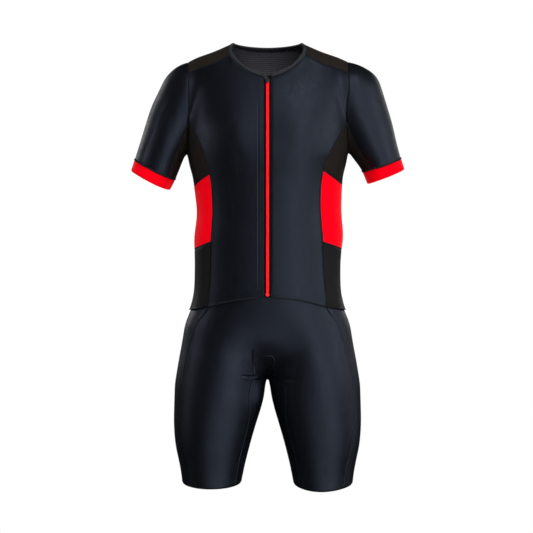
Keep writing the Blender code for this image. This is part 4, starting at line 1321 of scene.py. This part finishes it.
lights = {
    # name: place, aim, size across and up in metres, watts, whether it shows in glossy cloth
    "keyRight": ((2.4, -2.6, 0.6), (0, 0, -0.35), (2.6, 3.4), 30, True),
    "farRight": ((3.4, -1.0, 0.4), (0, 0, -0.35), (1.8, 2.6), 32, True),
    "nearRight": ((0.9, -3.7, 0.6), (0, 0, -0.35), (1.2, 2.4), 28, True),
    "stripLeft": ((-2.4, -0.3, -0.7), (0, 0, -0.7), (0.4, 0.8), 2.5, True),
    "stripHigh": ((-2.4, -0.5, 0.25), (0, 0, -0.2), (0.4, 0.7), 6, True),
    "stripRight": ((2.0, 0.5, -0.3), (0, 0, -0.45), (0.35, 2.2), 4, True),
    "highRight": ((0.8, -1.8, 1.9), (0, 0, -0.25), (1.6, 0.8), 17, True),
    "lowRight": ((1.6, -2.8, -1.1), (0, 0, -0.6), (1.8, 0.6), 14, True),
    "floorGlow": ((0.4, -1.1, -1.40), (0.1, 0, -0.62), (2.0, 0.7), 6, True),
    "backLeft": ((-3.0, 2.9, 1.0), (0, 0, -0.35), (1.4, 2.2), 24, True),
    "backFill": ((0.3, 3.4, 0.7), (0, 0, -0.4), (2.6, 1.8), 44, False),
    "backRight": ((2.6, 3.3, 0.8), (0, 0, -0.45), (1.4, 2.2), 14, True),
    "top": ((0.2, -0.9, 1.9), (0, 0.1, -0.05), (1.6, 0.6), 62, False),
    "neckFill": ((-0.9, -2.7, 1.1), (0, 0.1, -0.03), (0.5, 0.5), 24, False),
    "paperLeft": ((-3.2, 2.2, 2.4), (-1.5, 6.2, 0.0), (2.6, 2.0), 160, False),
    "paperRight": ((3.2, 2.2, 2.4), (1.5, 6.2, 0.0), (2.6, 2.0), 160, False),
    "paperLow": ((0.0, 2.6, 3.2), (0.0, 5.6, -1.4), (4.0, 1.0), 90, False),
}


def makeLights():
    for name, (place, aim, size, watts, shines) in lights.items():
        bpy.ops.object.light_add(type="AREA", location=place)
        lamp = bpy.context.object
        lamp.name = name
        lamp.data.shape = "RECTANGLE"
        lamp.data.size, lamp.data.size_y = size
        lamp.data.energy = watts
        lamp.visible_glossy = shines
        lamp.rotation_euler = (Vector(aim) - Vector(place)).to_track_quat("-Z", "Y").to_euler()
    world = bpy.data.worlds.new("softRoom")
    world.use_nodes = True
    soft = {"Color": hexColour(studio["world"]), "Strength": studio["worldStrength"]}
    setInputs(world.node_tree, world.node_tree.nodes["Background"], soft)
    bpy.context.scene.world = world


view = {"place": (-0.002, -3.2, -0.457), "focal": 105.4, "sensor": 36.0}


def makeCamera():
    bpy.ops.object.camera_add(location=view["place"], rotation=(math.radians(90), 0, 0))
    camera = bpy.context.object
    camera.name = "studioCamera"
    camera.data.lens = view["focal"]
    camera.data.sensor_width = view["sensor"]
    camera.data.dof.use_dof = False
    bpy.context.scene.camera = camera


makeBackdrop()
makeSurround()
makeLights()
makeCamera()
bpy.context.scene.view_settings.view_transform = "Standard"
print("studio made")
